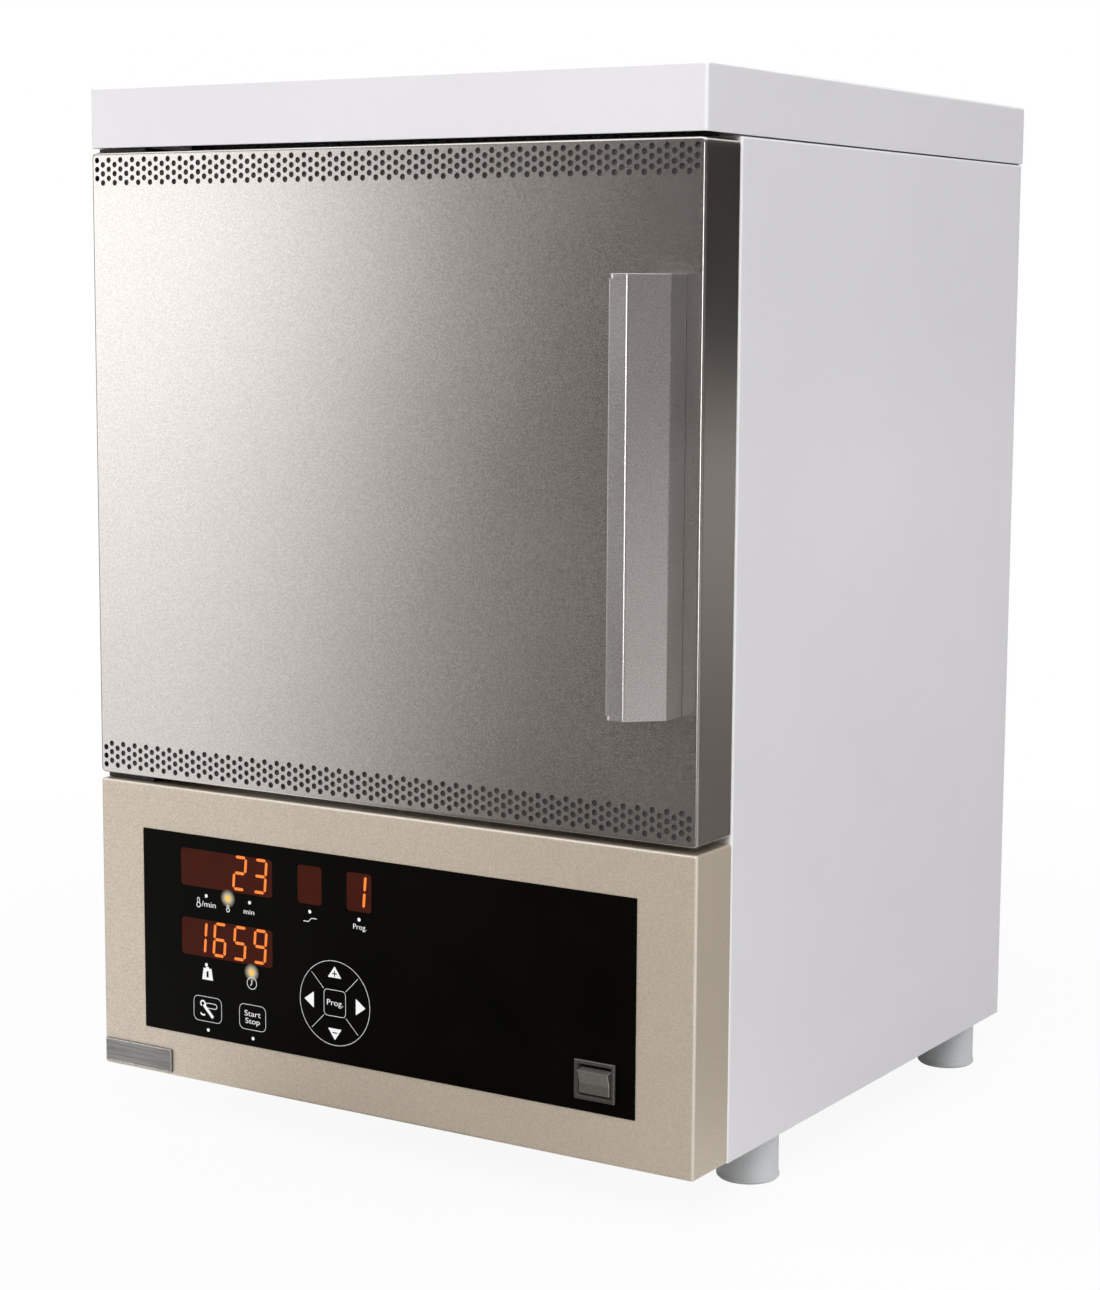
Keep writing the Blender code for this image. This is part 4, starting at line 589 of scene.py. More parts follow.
def coordinates(mesh):
    points = np.zeros(len(mesh.vertices) * 3)
    mesh.vertices.foreach_get("co", points)
    return points.reshape(-1, 3)


def addValues(mesh, name, values):
    layer = mesh.attributes.new(name, "FLOAT", "POINT")
    layer.data.foreach_set("value", np.asarray(values, np.float32))


def addPaintedHighlights(mesh, paintedHighlights):
    # painted highlight along folds, which the finishes read as a lighter base colour. "x+y-" names the fold between
    # a shape's high x and low y sides: there the highlight is 1 where both sides are equally near and fades to 0 a
    # radius away; "x+" alone fades either way from half a radius
    points = coordinates(mesh) / mm
    rub = np.zeros(len(points))
    for sides, radius in paintedHighlights.items():
        reach = []
        for axis, sign in zip(sides[::2], sides[1::2]):
            along = points[:, "xyz".index(axis)]
            reach.append(along.max() - along if sign == "+" else along - along.min())
        first, last = reach[0], reach[1] if len(reach) > 1 else radius - reach[0]
        near = (first <= radius * 1.01) & (last <= radius * 1.01)
        rub = np.maximum(rub, np.where(near, 1 - np.abs(first - last) / radius, 0))
    addValues(mesh, "rub", np.clip(rub, 0, 1))


def newMesh(name, points, faces):
    mesh = bpy.data.meshes.new(name)
    mesh.from_pydata(np.asarray(points, float).tolist(), [], [list(face) for face in faces])
    return mesh


def linked(name, data):
    made = bpy.data.objects.new(name, data)
    scene.collection.objects.link(made)
    return made


def addPiece(name, shape, finish=None, body="casing", node=None, smooth=32, weld=False, paintedHighlights=None):
    # puts a shape, or a list of them, into a mesh, turns its faces outwards and hangs it on its CAD body;
    # a piece that stands for a CAD node wears that node's finish
    finish = finish or finishOf(node)
    points, faces = merged(*shape) if isinstance(shape, list) else shape
    mesh = newMesh(name, points * mm, faces)
    work = bmesh.new()
    work.from_mesh(mesh)
    if weld:
        bmesh.ops.remove_doubles(work, verts=work.verts, dist=1e-6)
    bmesh.ops.recalc_face_normals(work, faces=work.faces)
    work.to_mesh(mesh)
    work.free()
    mesh.shade_smooth()
    mesh.set_sharp_from_angle(angle=math.radians(smooth))
    # painted highlights: a point attribute that lightens the base colour along the named folds
    if paintedHighlights:
        addPaintedHighlights(mesh, paintedHighlights)
    mesh.materials.append(finishes[finish])
    piece = linked(name, mesh)
    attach(piece, body)
    if node:
        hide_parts(node)
    return piece


def addPrint(name, shape, finish="printInk", body="casing", weld=False):
    addPiece(name, shape, finish, body, smooth=20, weld=weld)


# Camera, studio and floor, all in metres

camera = {"place": (0.85446, -1.36566, 0.48749), "yaw": 32.2141, "pitch": -7.5388, "roll": 0.3376, "lens": 75.345}


def makeCamera():
    lens = bpy.data.cameras.new("camera")
    lens.lens, lens.sensor_width, lens.clip_start, lens.clip_end = camera["lens"], 36, 0.05, 60
    eye = linked("camera", lens)
    yaw, pitch, roll = (math.radians(camera[name]) for name in ("yaw", "pitch", "roll"))
    turn = Euler((quarter + pitch, 0, yaw)).to_matrix() @ Euler((0, 0, roll)).to_matrix()
    eye.location, eye.rotation_euler = camera["place"], turn.to_euler()
    scene.camera = eye


studio = {
    "sky": (0.345, 0.345, 0.355), "tentRadius": 1.5, "tentHeight": 2.0, "tentDome": 0.6, "tentPeak": 2.0,
    # the tent's tone by height, at these azimuths in turns from the front towards the left
    "azimuths": (0.0, 0.055, 0.069, 0.083, 0.097, 0.111, 0.125, 0.15, 0.19, 0.36, 0.5, 0.61, 0.7, 0.83, 0.88, 0.91,
                 0.94, 0.965),
    "tones": {
        0.0: (0.055, 0.058, 0.085, 0.17, 0.4, 0.555, 0.57, 0.57, 0.06, 0.06, 0.06, 0.075, 0.06, 0.33, 0.2, 0.12,
              0.14, 0.05),
        0.3: (0.055, 0.06, 0.08, 0.19, 0.54, 0.76, 0.77, 0.76, 0.05, 0.06, 0.08, 0.2, 0.06, 0.19, 0.12, 0.08, 0.06,
              0.04),
        0.43: (0.055, 0.055, 0.078, 0.22, 0.65, 0.88, 0.89, 0.89, 0.05, 0.06, 0.05, 0.012, 0.04, 0.09, 0.06, 0.03,
               0.02, 0.03),
        0.6: (0.045, 0.038, 0.072, 0.25, 0.78, 0.98, 0.98, 0.98, 0.05, 0.05, 0.03, 0.01, 0.02, 0.06, 0.04, 0.01,
              0.01, 0.02),
        1.1: (0.05, 0.05),
        1.6: (0.9, 0.9),
    },
    # an upright light, for the bright line along each fold: azimuth in turns, half width, heights, tone
    "strip": (0.974, 0.018, 0.15, 0.66, 3.0),
    "warmth": 0.09, "warmBelow": 0.5,  # dark tones of the tent are this much redder and less blue
    "floorRadius": 14, "floorTone": 0.9, "floorWhite": 0.92,
}


def makeSky():
    # white to the camera and to reflections, a soft pale sky to everything else
    scene.world = bpy.data.worlds.new("studio")
    r = Recipe(scene.world)
    background = r.tree.nodes["Background"].inputs
    background["Strength"].default_value = 1.0
    r.feed(background["Color"], r.mix(r.seen(), studio["sky"], (1, 1, 1)))


def finishStage(name, mesh, r, light):
    r.feed(r.tree.nodes["Material Output"].inputs["Surface"], light)
    mesh.materials.append(r.owner)
    made = linked(name, mesh)
    return made


def makeFloor():
    # a wide disc; what the camera sees is part white and part lit floor, so that the shadow stays
    mesh = newMesh("floor", level(circle((0, 0), studio["floorRadius"], 96), 0), [range(96)])
    r = newRecipe("floorPaint")
    tone = studio["floorTone"]
    cloud = r.span(r.noise(1.3, 2.0), 0.3, 0.7)
    r.surface(Base_Color=r.mix(cloud, (tone * 0.985,) * 3, (tone,) * 3), Specular_IOR_Level=0.1,
              Roughness=r.span(cloud, 0, 1, 0.8, 0.86))
    spot = r.node("VectorMath", {"operation": "LENGTH"}, {0: r.place}, "Value")
    white = r.span(spot, 0.45, 1.1, studio["floorWhite"], 1.0)
    glow = r.node("Emission", (), {"Color": (1, 1, 1), "Strength": 1.0})
    paint = Wire(r, r.shader.outputs[0])
    finishStage("floor", mesh, r, r.node("MixShader", (), {0: r.seen() * white, 1: paint, 2: glow}))


def makeTent():
    # a graded studio tent, floor and all, that only reflections see: tone by azimuth and height
    radius, height, dome = studio["tentRadius"], studio["tentHeight"], studio["tentDome"]
    profile = [(0.001, 0.0005), (radius * 0.5, 0.0005), (radius, 0.0005), (radius, 0.4), (radius, height - dome)]
    profile += [(radius * math.cos(t), height - dome + dome * math.sin(t)) for t in np.linspace(0, quarter, 9)[1:-1]]
    mesh = newMesh("tent", *turned([*profile, (0.001, height)], (0, 0, 0)))
    r = newRecipe("tentCloth")
    x, y, z = r.axes()
    turn = x.math("ARCTAN2", x * -1, y * -1) / (2 * math.pi)
    turn = turn + (turn < 0)
    cloth, below = None, 0
    for height, tones in studio["tones"].items():
        stops = []
        for azimuth, tone in zip(studio["azimuths"], tones):
            warm = studio["warmth"] * max(0, 1 - tone / studio["warmBelow"])
            stops.append((azimuth, (tone * (1 + warm), tone, tone * (1 - warm))))
        ramp = r.node("ValToRGB", {"stops": stops}, {0: turn}, "Color")
        cloth = r.mix(r.span(z, below, height), cloth, ramp) if cloth else ramp
        below = height
    azimuth, half, low, high, tone = studio["strip"]
    rise = r.span(z, low - 0.15, low + 0.05) * r.span(z, high + 0.12, high)
    cloth = r.mix(r.span(abs(turn - azimuth), half, half * 0.6) * rise, cloth, (tone,) * 3)
    tent = finishStage("tent", mesh, r, r.node("Emission", (), {"Color": cloth, "Strength": studio["tentPeak"]}))
    tent.visible_camera = tent.visible_diffuse = tent.visible_shadow = tent.visible_transmission = False


lamps = {
    # place, size, power in watts, colour
    "keyLamp": ((0.95, -1.9, 1.55), 1.3, 25, (1.0, 0.995, 0.985)),
    "leftLamp": ((-1.9, -1.3, 1.5), 1.6, 16, (1.0, 0.99, 0.975)),
    "rearLamp": ((0.6, 2.3, 1.6), 1.8, 10, (0.985, 0.99, 1.0)),
    "topLamp": ((0.0, 0.0, 2.6), 1.8, 10, (1.0, 1.0, 1.0)),
    "sideLamp": ((2.2, 1.0, 0.4), 1.4, 14, (1.0, 1.0, 1.0)),
}


def makeLamps():
    for name, (place, size, power, colour) in lamps.items():
        light = bpy.data.lights.new(name, "AREA")
        light.shape, light.size, light.energy, light.color = "DISK", size, power, colour
        lamp = linked(name, light)
        x, y, z = np.array((0, 0, 0.3)) - place
        lamp.location, lamp.rotation_euler = place, (math.atan2(math.hypot(x, y), -z), 0, math.atan2(y, x) - quarter)
        lamp.visible_camera = lamp.visible_glossy = False


makeCamera()
makeSky()
makeFloor()
makeTent()
makeLamps()
scene.view_settings.view_transform = "Standard"
print("studio made")


# Casing: lid, side panels and feet

casing = {"sideTop": 1.6, "sideRise": 0.9, "sideFold": 1.8, "lidFold": 1.8, "lidCorner": 1.6, "sheet": 1.2}


def makeLid():
    fold, corner = casing["lidFold"], casing["lidCorner"]
    shape = foldedSheet("lid", casing["sheet"], fold, corner, axis="Z")
    # painted highlights along the two front corners and along the front and right top folds
    paintedHighlights = {"x+y-": corner, "x-y-": corner, "y-z+": fold, "x+z+": fold}
    addPiece("lidShell", shape, node="lid", weld=True, paintedHighlights=paintedHighlights)


def makeSidePanels():
    # a C-shaped section carried from the panel's foot to its top, where the sheet leans in round a fold
    fold, bend, sheet = casing["sideFold"], casing["sideTop"], casing["sheet"]
    for way, side, face in ((-1, "left", "x-"), (1, "right", "x+")):
        (inner, front, bottom), (outer, rear, top) = boxes["side_panel_" + side]
        if way < 0:
            inner, outer = outer, inner
        wall, top = outer - way * sheet, top + casing["sideRise"]
        corners = [(inner, front), (outer, front), (outer, rear), (inner, rear), (inner, rear - sheet),
                   (wall, rear - sheet), (wall, front + sheet), (inner, front + sheet)]
        outline = fillet(corners, [0.2, fold, fold, 0.2, 0.2, fold - sheet, fold - sheet, 0.2], 6, 0.3)
        leans = [(0, bottom), (0, top - bend * 1.3)]
        leans += [(bend * (1 - math.cos(t)), top - bend * (1 - math.sin(t))) for t in np.linspace(0, 1.5, 7)]
        shape = stacked([(outline - (way * lean, 0), z) for lean, z in leans], "Z")
        # painted highlights along the front and rear folds and along the top bend
        addPiece("sideShell" + side.title(), shape, node="side_panel_" + side,
                 paintedHighlights={face + "y-": fold, face + "y+": fold, face + "z+": bend})


feet = {"stem": 4, "gap": 0.3, "waist": 0.6, "bead": (3.2, 2.6, 1.2), "corner": 0.35}


def makeFeet():
    # a stem up to the pan, a round pad and, round its lower end, a bead; heights of the bead from above down
    stem, (upper, middleHeight, lower) = feet["stem"], feet["bead"]
    for corner in ("front_left", "front_right", "rear_left", "rear_right"):
        _, (_, _, high), middle, size = boxOf("foot_" + corner)
        radius, top = size[0] / 2, boxes["base_pan"][0][2] - feet["gap"]
        waist = radius - feet["waist"]
        profile = [(0, high), (stem, high), (stem, top), (waist, top), (waist, upper), (radius, middleHeight),
                   (radius, lower), (radius - lower, 0), (0, 0)]
        shape = turned(roundedProfile(profile, feet["corner"]), (*middle[:2], 0))
        addPiece("foot" + corner.title().replace("_", ""), shape, node="foot_" + corner, weld=True)


makeLid()
makeSidePanels()
makeFeet()
print("casing made")


# Door: perforated skin, handle

door = {
    "fold": 1.6, "corner": 3.0, "sheet": 1.2, "columns": 91, "firstColumn": -195.8, "columnPitch": 4.3427,
    "rowPitch": 5.056, "rows": 3, "holeRadius": 1.66, "screwRadius": 2.8,
    "topRow": 557.7, "bottomRow": 209.5,  # centre of the outermost hole of each band
    "screwLines": 7, "screwStep": 1.4,  # grid lines round a screw
}


def makeDoorSkin():
    # hole centres stand on columns a pitch apart; every second column is shifted by half a row pitch.
    # Each hole fills a block of 4 by 4 grid cells, so that shifted blocks still share grid points.
    columns, first, pitch, step = door["columns"], door["firstColumn"], door["columnPitch"], door["rowPitch"] / 4
    lines, radius = door["screwLines"], door["holeRadius"]
    screws = [boxOf("handle_screw_" + end)[2] for end in ("bottom", "top")]
    linesA = first + pitch / 4 * (np.arange(4 * columns + 1) - 2)
    band = np.arange(4 * door["rows"] + 3)
    beside = door["screwStep"] * (np.arange(lines) - lines // 2)
    linesB = np.concatenate((door["bottomRow"] + step * (band - 2), *(z + beside for _, _, z in screws),
                             door["topRow"] + step * (band - band[-1] + 2)))
    upper = len(band) + 2 * lines
    holes = []
    for column in range(columns):
        shift = column % 2 * 2
        for row in range(0, 4 * door["rows"], 4):
            for b in (row + shift, upper + row + 2 - shift):
                centre = (first + column * pitch, linesB[b + 2])
                holes.append((4 * column, 4 * column + 4, b, b + 4, centre, radius))
    for b, (x, _, z) in zip((len(band), len(band) + lines), screws):
        a = int(np.argmin(abs(linesA - x))) - 4
        holes.append((a, a + 8, b, b + lines - 1, (x, z), door["screwRadius"]))
    shape = foldedSheet("door_skin", door["sheet"], door["fold"], door["corner"], (linesA, linesB), holes)
    addPiece("doorSkin", shape, body="door", node="door_skin", weld=True)


handle = {"left": 163.6, "right": 190, "reach": 31.5, "side": 15.5, "wall": 3.5, "foot": -0.3, "flange": 22,
          "fold": 2.3, "edge": 0.4, "inside": 1.5, "endEdge": 0.25, "seam": 0.22}


def makeHandle():
    # section: short flat front, 45 degree face, flat side and a flange under the screws
    low, high = boxes["door_handle"]
    left, right, reach, side, wall, foot, flange, fold, edge, inside, endEdge, seam = handle.values()
    front = (0, boxes["door_skin"][0][1])
    slope, mitre = reach - side, wall * math.tan(math.pi / 8)
    outer = [(left, -reach), (right - slope, -reach), (right, -side), (right, foot)]
    corners = outer + [
        (right - flange, foot), (right - flange, foot - wall), (right - wall, foot - wall),
        (right - wall, mitre - side), (right - slope - mitre, wall - reach), (left, wall - reach)]
    outline = fillet(corners, [edge, fold, fold, edge, edge, edge, inside, inside, inside, edge], 6, 0.25) + front
    shape = plate(outline, low[2] - seam, high[2] + seam, 0.03, 2, "Z")
    addPiece("handleGrip", shape, body="door", node="door_handle")
    outline = fillet(outer + [(left, foot)], [fold, fold, fold, edge, edge], 6, 0.25) + front
    for end in ("bottom", "top"):
        # only the outer end is rounded; the inner end meets the grip
        low, high = boxes["handle_cap_" + end][:, 2]
        outer, inner, way = (low, high, 1) if end == "bottom" else (high, low, -1)
        levels = [(endEdge * 2.2, 0), *zip(*rounding(endEdge, 4)), (0, endEdge * 1.5)]
        levels = [(inset, outer + way * depth) for inset, depth in levels]
        levels += [(0, inner - way * 0.08), (0, inner - way * 0.04), (0.03, inner)]
        shape = stacked([(grown(outline, -inset), z) for inset, z in levels], "Z")
        addPiece("handleCap" + end.title(), shape, body="door", node="handle_cap_" + end)


makeDoorSkin()
makeHandle()
print("door made")


# Fascia, control panel and switch

fascia = {"fold": 1.6, "corner": 1.5, "sheet": 1.2, "gap": 0.3}


def makeFascia():
    fold, gap = fascia["fold"], fascia["gap"]
    (low, high), (panelLow, panelHigh) = boxes["fascia"], boxes["control_panel"]
    lines = [(low[i] + fold + 0.4, panelLow[i] - gap, panelHigh[i] + gap, high[i] - fold - 0.4) for i in (0, 2)]
    shape = foldedSheet("fascia", fascia["sheet"], fold, fascia["corner"], lines, windows=[(1, 2, 1, 2)])
    # painted highlights along the right upright fold and the top front fold
    addPiece("fasciaShell", shape, node="fascia", weld=True, paintedHighlights={"x+y-": fold, "y-z+": fold * 0.8})


makeFascia()
print("fascia made")


# The panel's windows, lettering and signs. Measures are from the object's middle and its floor.

def ribbon(path, width):
    # outline of a flat line of this width: the path moved to either side along its normals
    path = np.asarray(path, float)
    along = unit(np.gradient(path, axis=0))
    side = np.stack((-along[:, 1], along[:, 0]), -1) * width / 2
    return np.concatenate((path - side, (path + side)[::-1]))


def hoop(outline, width, near, far):
    # a closed line: its outer and inner edges lofted round a rectangular section
    outer, inner = grown(outline, width / 2), grown(outline, -width / 2)
    return stacked([(outer, near), (outer, far), (inner, far), (inner, near), (outer, near)], caps=False)


def lettering(text, width, height, middle, near, far):
    # generic words as a mesh, fitted to a box and given the ink's thickness
    curve = bpy.data.curves.new("lettering", "FONT")
    curve.body, curve.align_x, curve.resolution_u, curve.offset, curve.extrude = text, "CENTER", 4, -0.003, 0.5
    holder = linked("lettering", curve)
    bpy.context.view_layer.update()
    mesh = bpy.data.meshes.new_from_object(holder)
    points, faces = coordinates(mesh), [list(face.vertices) for face in mesh.polygons]
    bpy.data.objects.remove(holder)
    bpy.data.curves.remove(curve)
    bpy.data.meshes.remove(mesh)
    low, high = points.min(0), points.max(0)
    flat = (points[:, :2] - (low + high)[:2] / 2) / (high - low)[:2] * (width, height) + middle
    return facing(np.column_stack((flat, np.where(points[:, 2] > 0, near, far))), "Y"), faces


panel = {
    "ink": 0.04, "line": 0.25, "ringRadius": 24.2, "ringShift": 0.6, "dividers": (7.6, 16.0),
    "arrowTip": 21.2, "arrowBase": 14.6, "arrowHalf": 4.7, "dotRadius": 1.05,
    "dots": ((-121.3, 140.0), (-89.7, 140.1), (-121.7, 99.4), (-46.8, 140.4), (-12.7, 140.3), (-120.8, 60.9),
             (-88.0, 60.9)),
    "lamps": ((-105.4, 140.5), (-88.6, 99.5)), "lampRadius": 1.75, "haloRadius": 5.4,
    # shares of the panel's width and height from its middle, then the window's width
    "windows": {"Upper": (-0.3157, 0.34, 66.3), "Lower": (-0.3157, -0.0042, 66.3), "Step": (-0.1364, 0.34, 16.9),
                "Program": (-0.0337, 0.34, 16.9)},
    "windowHeight": 21.9, "windowCorner": 1.8, "cornerReach": 1.95,
}
digits = {
    "height": 18.6, "width": 7.9, "bar": 1.7, "gap": 0.45, "lean": math.radians(4.5),
    "display": {"Lower": ("1659", (-126.0, -111.6, -97.0, -82.4), 115.3), "Upper": ("23", (-96.7, -82.0), 156.2),
                "Program": ("1", (-12.9,), 156.2)},
}
# bars of a seven-bar digit: a top, b upper right, c lower right, d bottom, e lower left, f upper left, g middle
litBars = {"1": "bc", "2": "abged", "3": "abgcd", "5": "afgcd", "6": "afgecd", "9": "abcdfg"}
barEnds = {"a": ((-1, 1), (1, 1)), "b": ((1, 0), (1, 1)), "c": ((1, -1), (1, 0)), "d": ((-1, -1), (1, -1)),
           "e": ((-1, -1), (-1, 0)), "f": ((-1, 0), (-1, 1)), "g": ((-1, 0), (1, 0))}
panelFace = boxes["control_panel"][0][1]
inkFace, inkBack, line = panelFace - panel["ink"], panelFace + 0.01, panel["line"]
ringMiddle = nodeMiddle("key_program") + (panel["ringShift"], 0)


def inked(outline, rise=0.0):
    return plate(outline, inkFace - rise, inkBack)


def inkLine(outline, width=line, rise=0.0):
    return hoop(outline, width, inkFace - rise, inkBack)


def words(text, width, height, middle):
    return lettering(text, width, height, middle, inkFace, inkBack)


def digitBars(mark, middle):
    # each lit bar is a six-sided outline between two corners of the digit, leaning to the right
    shapes = []
    for name in litBars[mark]:
        first, last = np.array(barEnds[name]) * (digits["width"] / 2, digits["height"] / 2)
        along = unit(last - first)
        point, across = along * digits["bar"] / 2, np.array((-along[1], along[0])) * digits["bar"] / 2
        first, last = first + along * digits["gap"], last - along * digits["gap"]
        outline = np.array((first, first + point - across, last - point - across, last, last - point + across,
                            first + point + across))
        outline[:, 0] += outline[:, 1] * math.tan(digits["lean"])
        shapes.append(plate(outline + middle, panelFace + 0.02, panelFace + 0.07))
    return shapes


def makeWindows():
    # red lenses flush with the panel's face, the panel's rounded corners round them, and the lit digits
    back = boxes["display_filter"][0][1] - 0.3
    _, _, middle, size = boxOf("control_panel")
    arc, reach, height, corners = around(np.linspace(0, quarter, 8)), panel["cornerReach"], panel["windowHeight"], []
    for name, (*share, width) in panel["windows"].items():
        spot = (middle + np.insert(share, 1, 0) * size)[[0, 2]]
        outline = roundedBox(spot, width, height, panel["windowCorner"])
        addPiece("window" + name, plate(outline, panelFace + 0.05, back, 0.08, 2), "redFilter")
        for sign in ((1, 1), (-1, 1), (-1, -1), (1, -1)):
            corner = spot + np.array(sign) * (width + 0.4, height + 0.4) / 2
            curve = corner + np.array(sign) * reach * (arc - 1)
            corners.append(plate(np.vstack((corner, curve[::-1])), panelFace, back))
    addPrint("windowCorners", corners, "panelFilm")
    for name, (text, places, height) in digits["display"].items():
        bars = [bar for mark, x in zip(text, places) for bar in digitBars(mark, (x, height))]
        addPrint("digits" + name, bars, "digitGlow")


def makePanelPrint():
    # white ink on the panel: key frames, the ring and its dividers, lamp dots, signs and words
    shapes = [inkLine(roundedBox(nodeMiddle(node), width, 14.6, 3.3, 7))
              for node, width in (("key_service", 20.4), ("key_start_stop", 19.0))]
    shapes.append(inkLine(circle(ringMiddle, panel["ringRadius"], 120)))
    for turn in range(4):
        way = around(math.pi / 4 + turn * quarter) * math.sqrt(2)
        shapes.append(inked(ribbon([ringMiddle + way * reach for reach in panel["dividers"]], line)))
    shapes += [inked(circle(spot, panel["dotRadius"], 24)) for spot in panel["dots"]]

    # two thermometers: a ring with a small round-ended tube on it
    for middle, radius, top in (((-127.0, 134.2), 1.35, 4.2), ((-105.4, 133.8), 1.1, 2.6)):
        stem = roundedBox((middle[0], middle[1] + (radius + top) / 2), 1.5, top - radius, 0.7, 5)
        shapes += [inkLine(circle(middle, radius, 24), 0.45), inkLine(stem, 0.36, 0.01)]
    shapes += [words("/min", 10.4, 3.3, (-119.6, 135.2)), words("min", 7.6, 2.7, (-90.2, 134.6)),
               words("Prog.", 9.0, 3.9, (-12.2, 135.7))]
    step = np.array(((-4.7, -0.9), (-1.2, -0.9), (0.9, 1.2), (4.7, 1.2))) + (-46.6, 135.6)
    weight = np.array(((-4.0, -3.8), (4.0, -3.8), (2.9, 3.0), (1.2, 3.0), (0.9, 3.9), (-0.9, 3.9), (-1.2, 3.0),
                       (-2.9, 3.0))) + (-120.9, 94.4)
    clock = np.array((-88.5, 93.2))
    shapes += [inked(ribbon(step, 0.42)), inked(weight), inkLine(circle(clock, 3.4), 0.34),
               inked(ribbon([clock + (-1.0, -1.5), clock, clock + (0, 2.1)], 0.5))]
    addPrint("panelPrint", shapes, weld=True)
    # a dark mark on the white weight
    mark = lettering("1", 1.5, 3.6, (-120.9, 93.9), inkFace - 0.03, inkFace)
    addPiece("weightMark", mark, "panelFilm", weld=True)


def makeKeyPrints():
    tip, base, half = panel["arrowTip"], panel["arrowBase"], panel["arrowHalf"]
    plus = np.array(((-1.7, -0.31), (-0.31, -0.31), (-0.31, -1.7), (0.31, -1.7), (0.31, -0.31), (1.7, -0.31),
                     (1.7, 0.31), (0.31, 0.31), (0.31, 1.7), (-0.31, 1.7), (-0.31, 0.31), (-1.7, 0.31)))
    marks = {"up": plus + (0, 16.9), "down": rectangle((0, -17.0), 3.2, 0.62)}
    for turn, way in enumerate(("up", "left", "down", "right")):
        arrow = fillet([(0, tip), (-half, base), (half, base)], 0.25, 3)
        c, s = round(math.cos(turn * quarter)), round(math.sin(turn * quarter))
        arrow = arrow @ np.array(((c, s), (-s, c))) + ringMiddle
        addPrint("arrow" + way.title(), inked(arrow), body="key_" + way)
        if way in marks:
            mark = plate(marks[way] + ringMiddle, inkFace - 0.03, inkFace)
            addPrint("arrowMark" + way.title(), mark, "panelFilm", "key_" + way)
    size = boxOf("key_program")[3]
    border = inkLine(roundedBox(ringMiddle, size[0] - 0.5, size[2] - 0.5, 2.4, 7))
    name = words("Prog.", 11.2, 4.3, ringMiddle + (0.2, -0.3))
    addPrint("programPrint", [border, name], body="key_program", weld=True)
    middle = nodeMiddle("key_start_stop")
    shapes = [words("Start", 11.6, 3.3, middle + (0, 2.2)), words("Stop", 10.4, 4.2, middle + (0, -2.7))]
    addPrint("startPrint", shapes, body="key_start_stop", weld=True)
    # service sign: a spanner laid over the outline of a finger
    middle = nodeMiddle("key_service")
    jaw = around(np.radians(np.linspace(-60, 235, 22)))[::-1] * 1.6 + middle + (-3.5, 3.0)
    finger = roundedBox(middle + (2.7, 2.2), 8.2, 2.9, 1.4)
    hook = np.array(((-5.2, -2.6), (-4.5, -3.5), (-3.3, -3.8), (-2.0, -3.4)))
    shapes = [inked(ribbon(middle + ((-3.0, 2.4), (3.9, -4.6)), 1.9)), inked(ribbon(jaw, 0.95), 0.01),
              inkLine(finger, 0.36, 0.02), inked(ribbon(middle + hook, 1.0))]
    addPrint("servicePrint", shapes, body="key_service")


def makePanelLamps():
    # lit lamps: an amber core in the panel and, around it, a haze that fades outwards
    radii = np.linspace(0.02, 1, 12)
    cores = [plate(circle(spot, panel["lampRadius"], 40), panelFace - 0.06, panelFace + 0.01)
             for spot in panel["lamps"]]
    addPrint("lampCores", cores, "lampAmber")
    halos = [stacked([(circle(spot, panel["haloRadius"] * share), panelFace - 0.03) for share in radii], caps=False)
             for spot in panel["lamps"]]
    halo = addPiece("lampHalos", halos, "lampHaze")
    addValues(halo.data, "fade", np.tile(np.repeat(1 - radii, 48), len(halos)))
    halo.visible_shadow = False


makeWindows()
makePanelPrint()
makeKeyPrints()
makePanelLamps()
print("panel lettering made")


# Power switch and badge plate

switch = {"edge": 0.32, "face": 2.0, "slope": 1.3, "pocketWall": 2.6, "bodyWall": 1.3, "flange": 1.5, "floor": 9,
          "reach": 6.6, "pivot": 4.0, "behind": 3.5, "tilt": math.radians(10), "rockerEdge": 0.3, "pinRadius": 1.2,
          "pinReach": 1.5, "rockerCorners": (0.6, 0.35, 0.3, 0.3, 0.3, 0.3, 0.35)}


def makeSwitchBezel():
    # one closed skin: pocket floor, pocket wall, sloping lip, face, rounded edge, flange back, body, body end
    low, high = boxes["switch_bezel"][:, 1]
    wall, face, body, edge = (switch[name] for name in ("pocketWall", "face", "bodyWall", "edge"))
    flange = low + switch["flange"]
    rows = [(wall, low + switch["floor"], 0.5), (wall, low + switch["slope"], 0.5), (face, low + 0.12, 0.6),
            (face - 0.125, low, 0.6), *((inset, low + depth, 0.4) for inset, depth in zip(*rounding(edge, 3))),
            (0, flange, 0.4), (body, flange, 0.8), (body, high - 0.5, 0.8), (body + 0.5, high, 0.5)]
    # painted highlights along the right and top front edges
    addPiece("switchBezel", nestedBoxes("switch_bezel", rows, 4), node="switch_bezel",
             paintedHighlights={"x+y-": edge, "y-z+": edge})


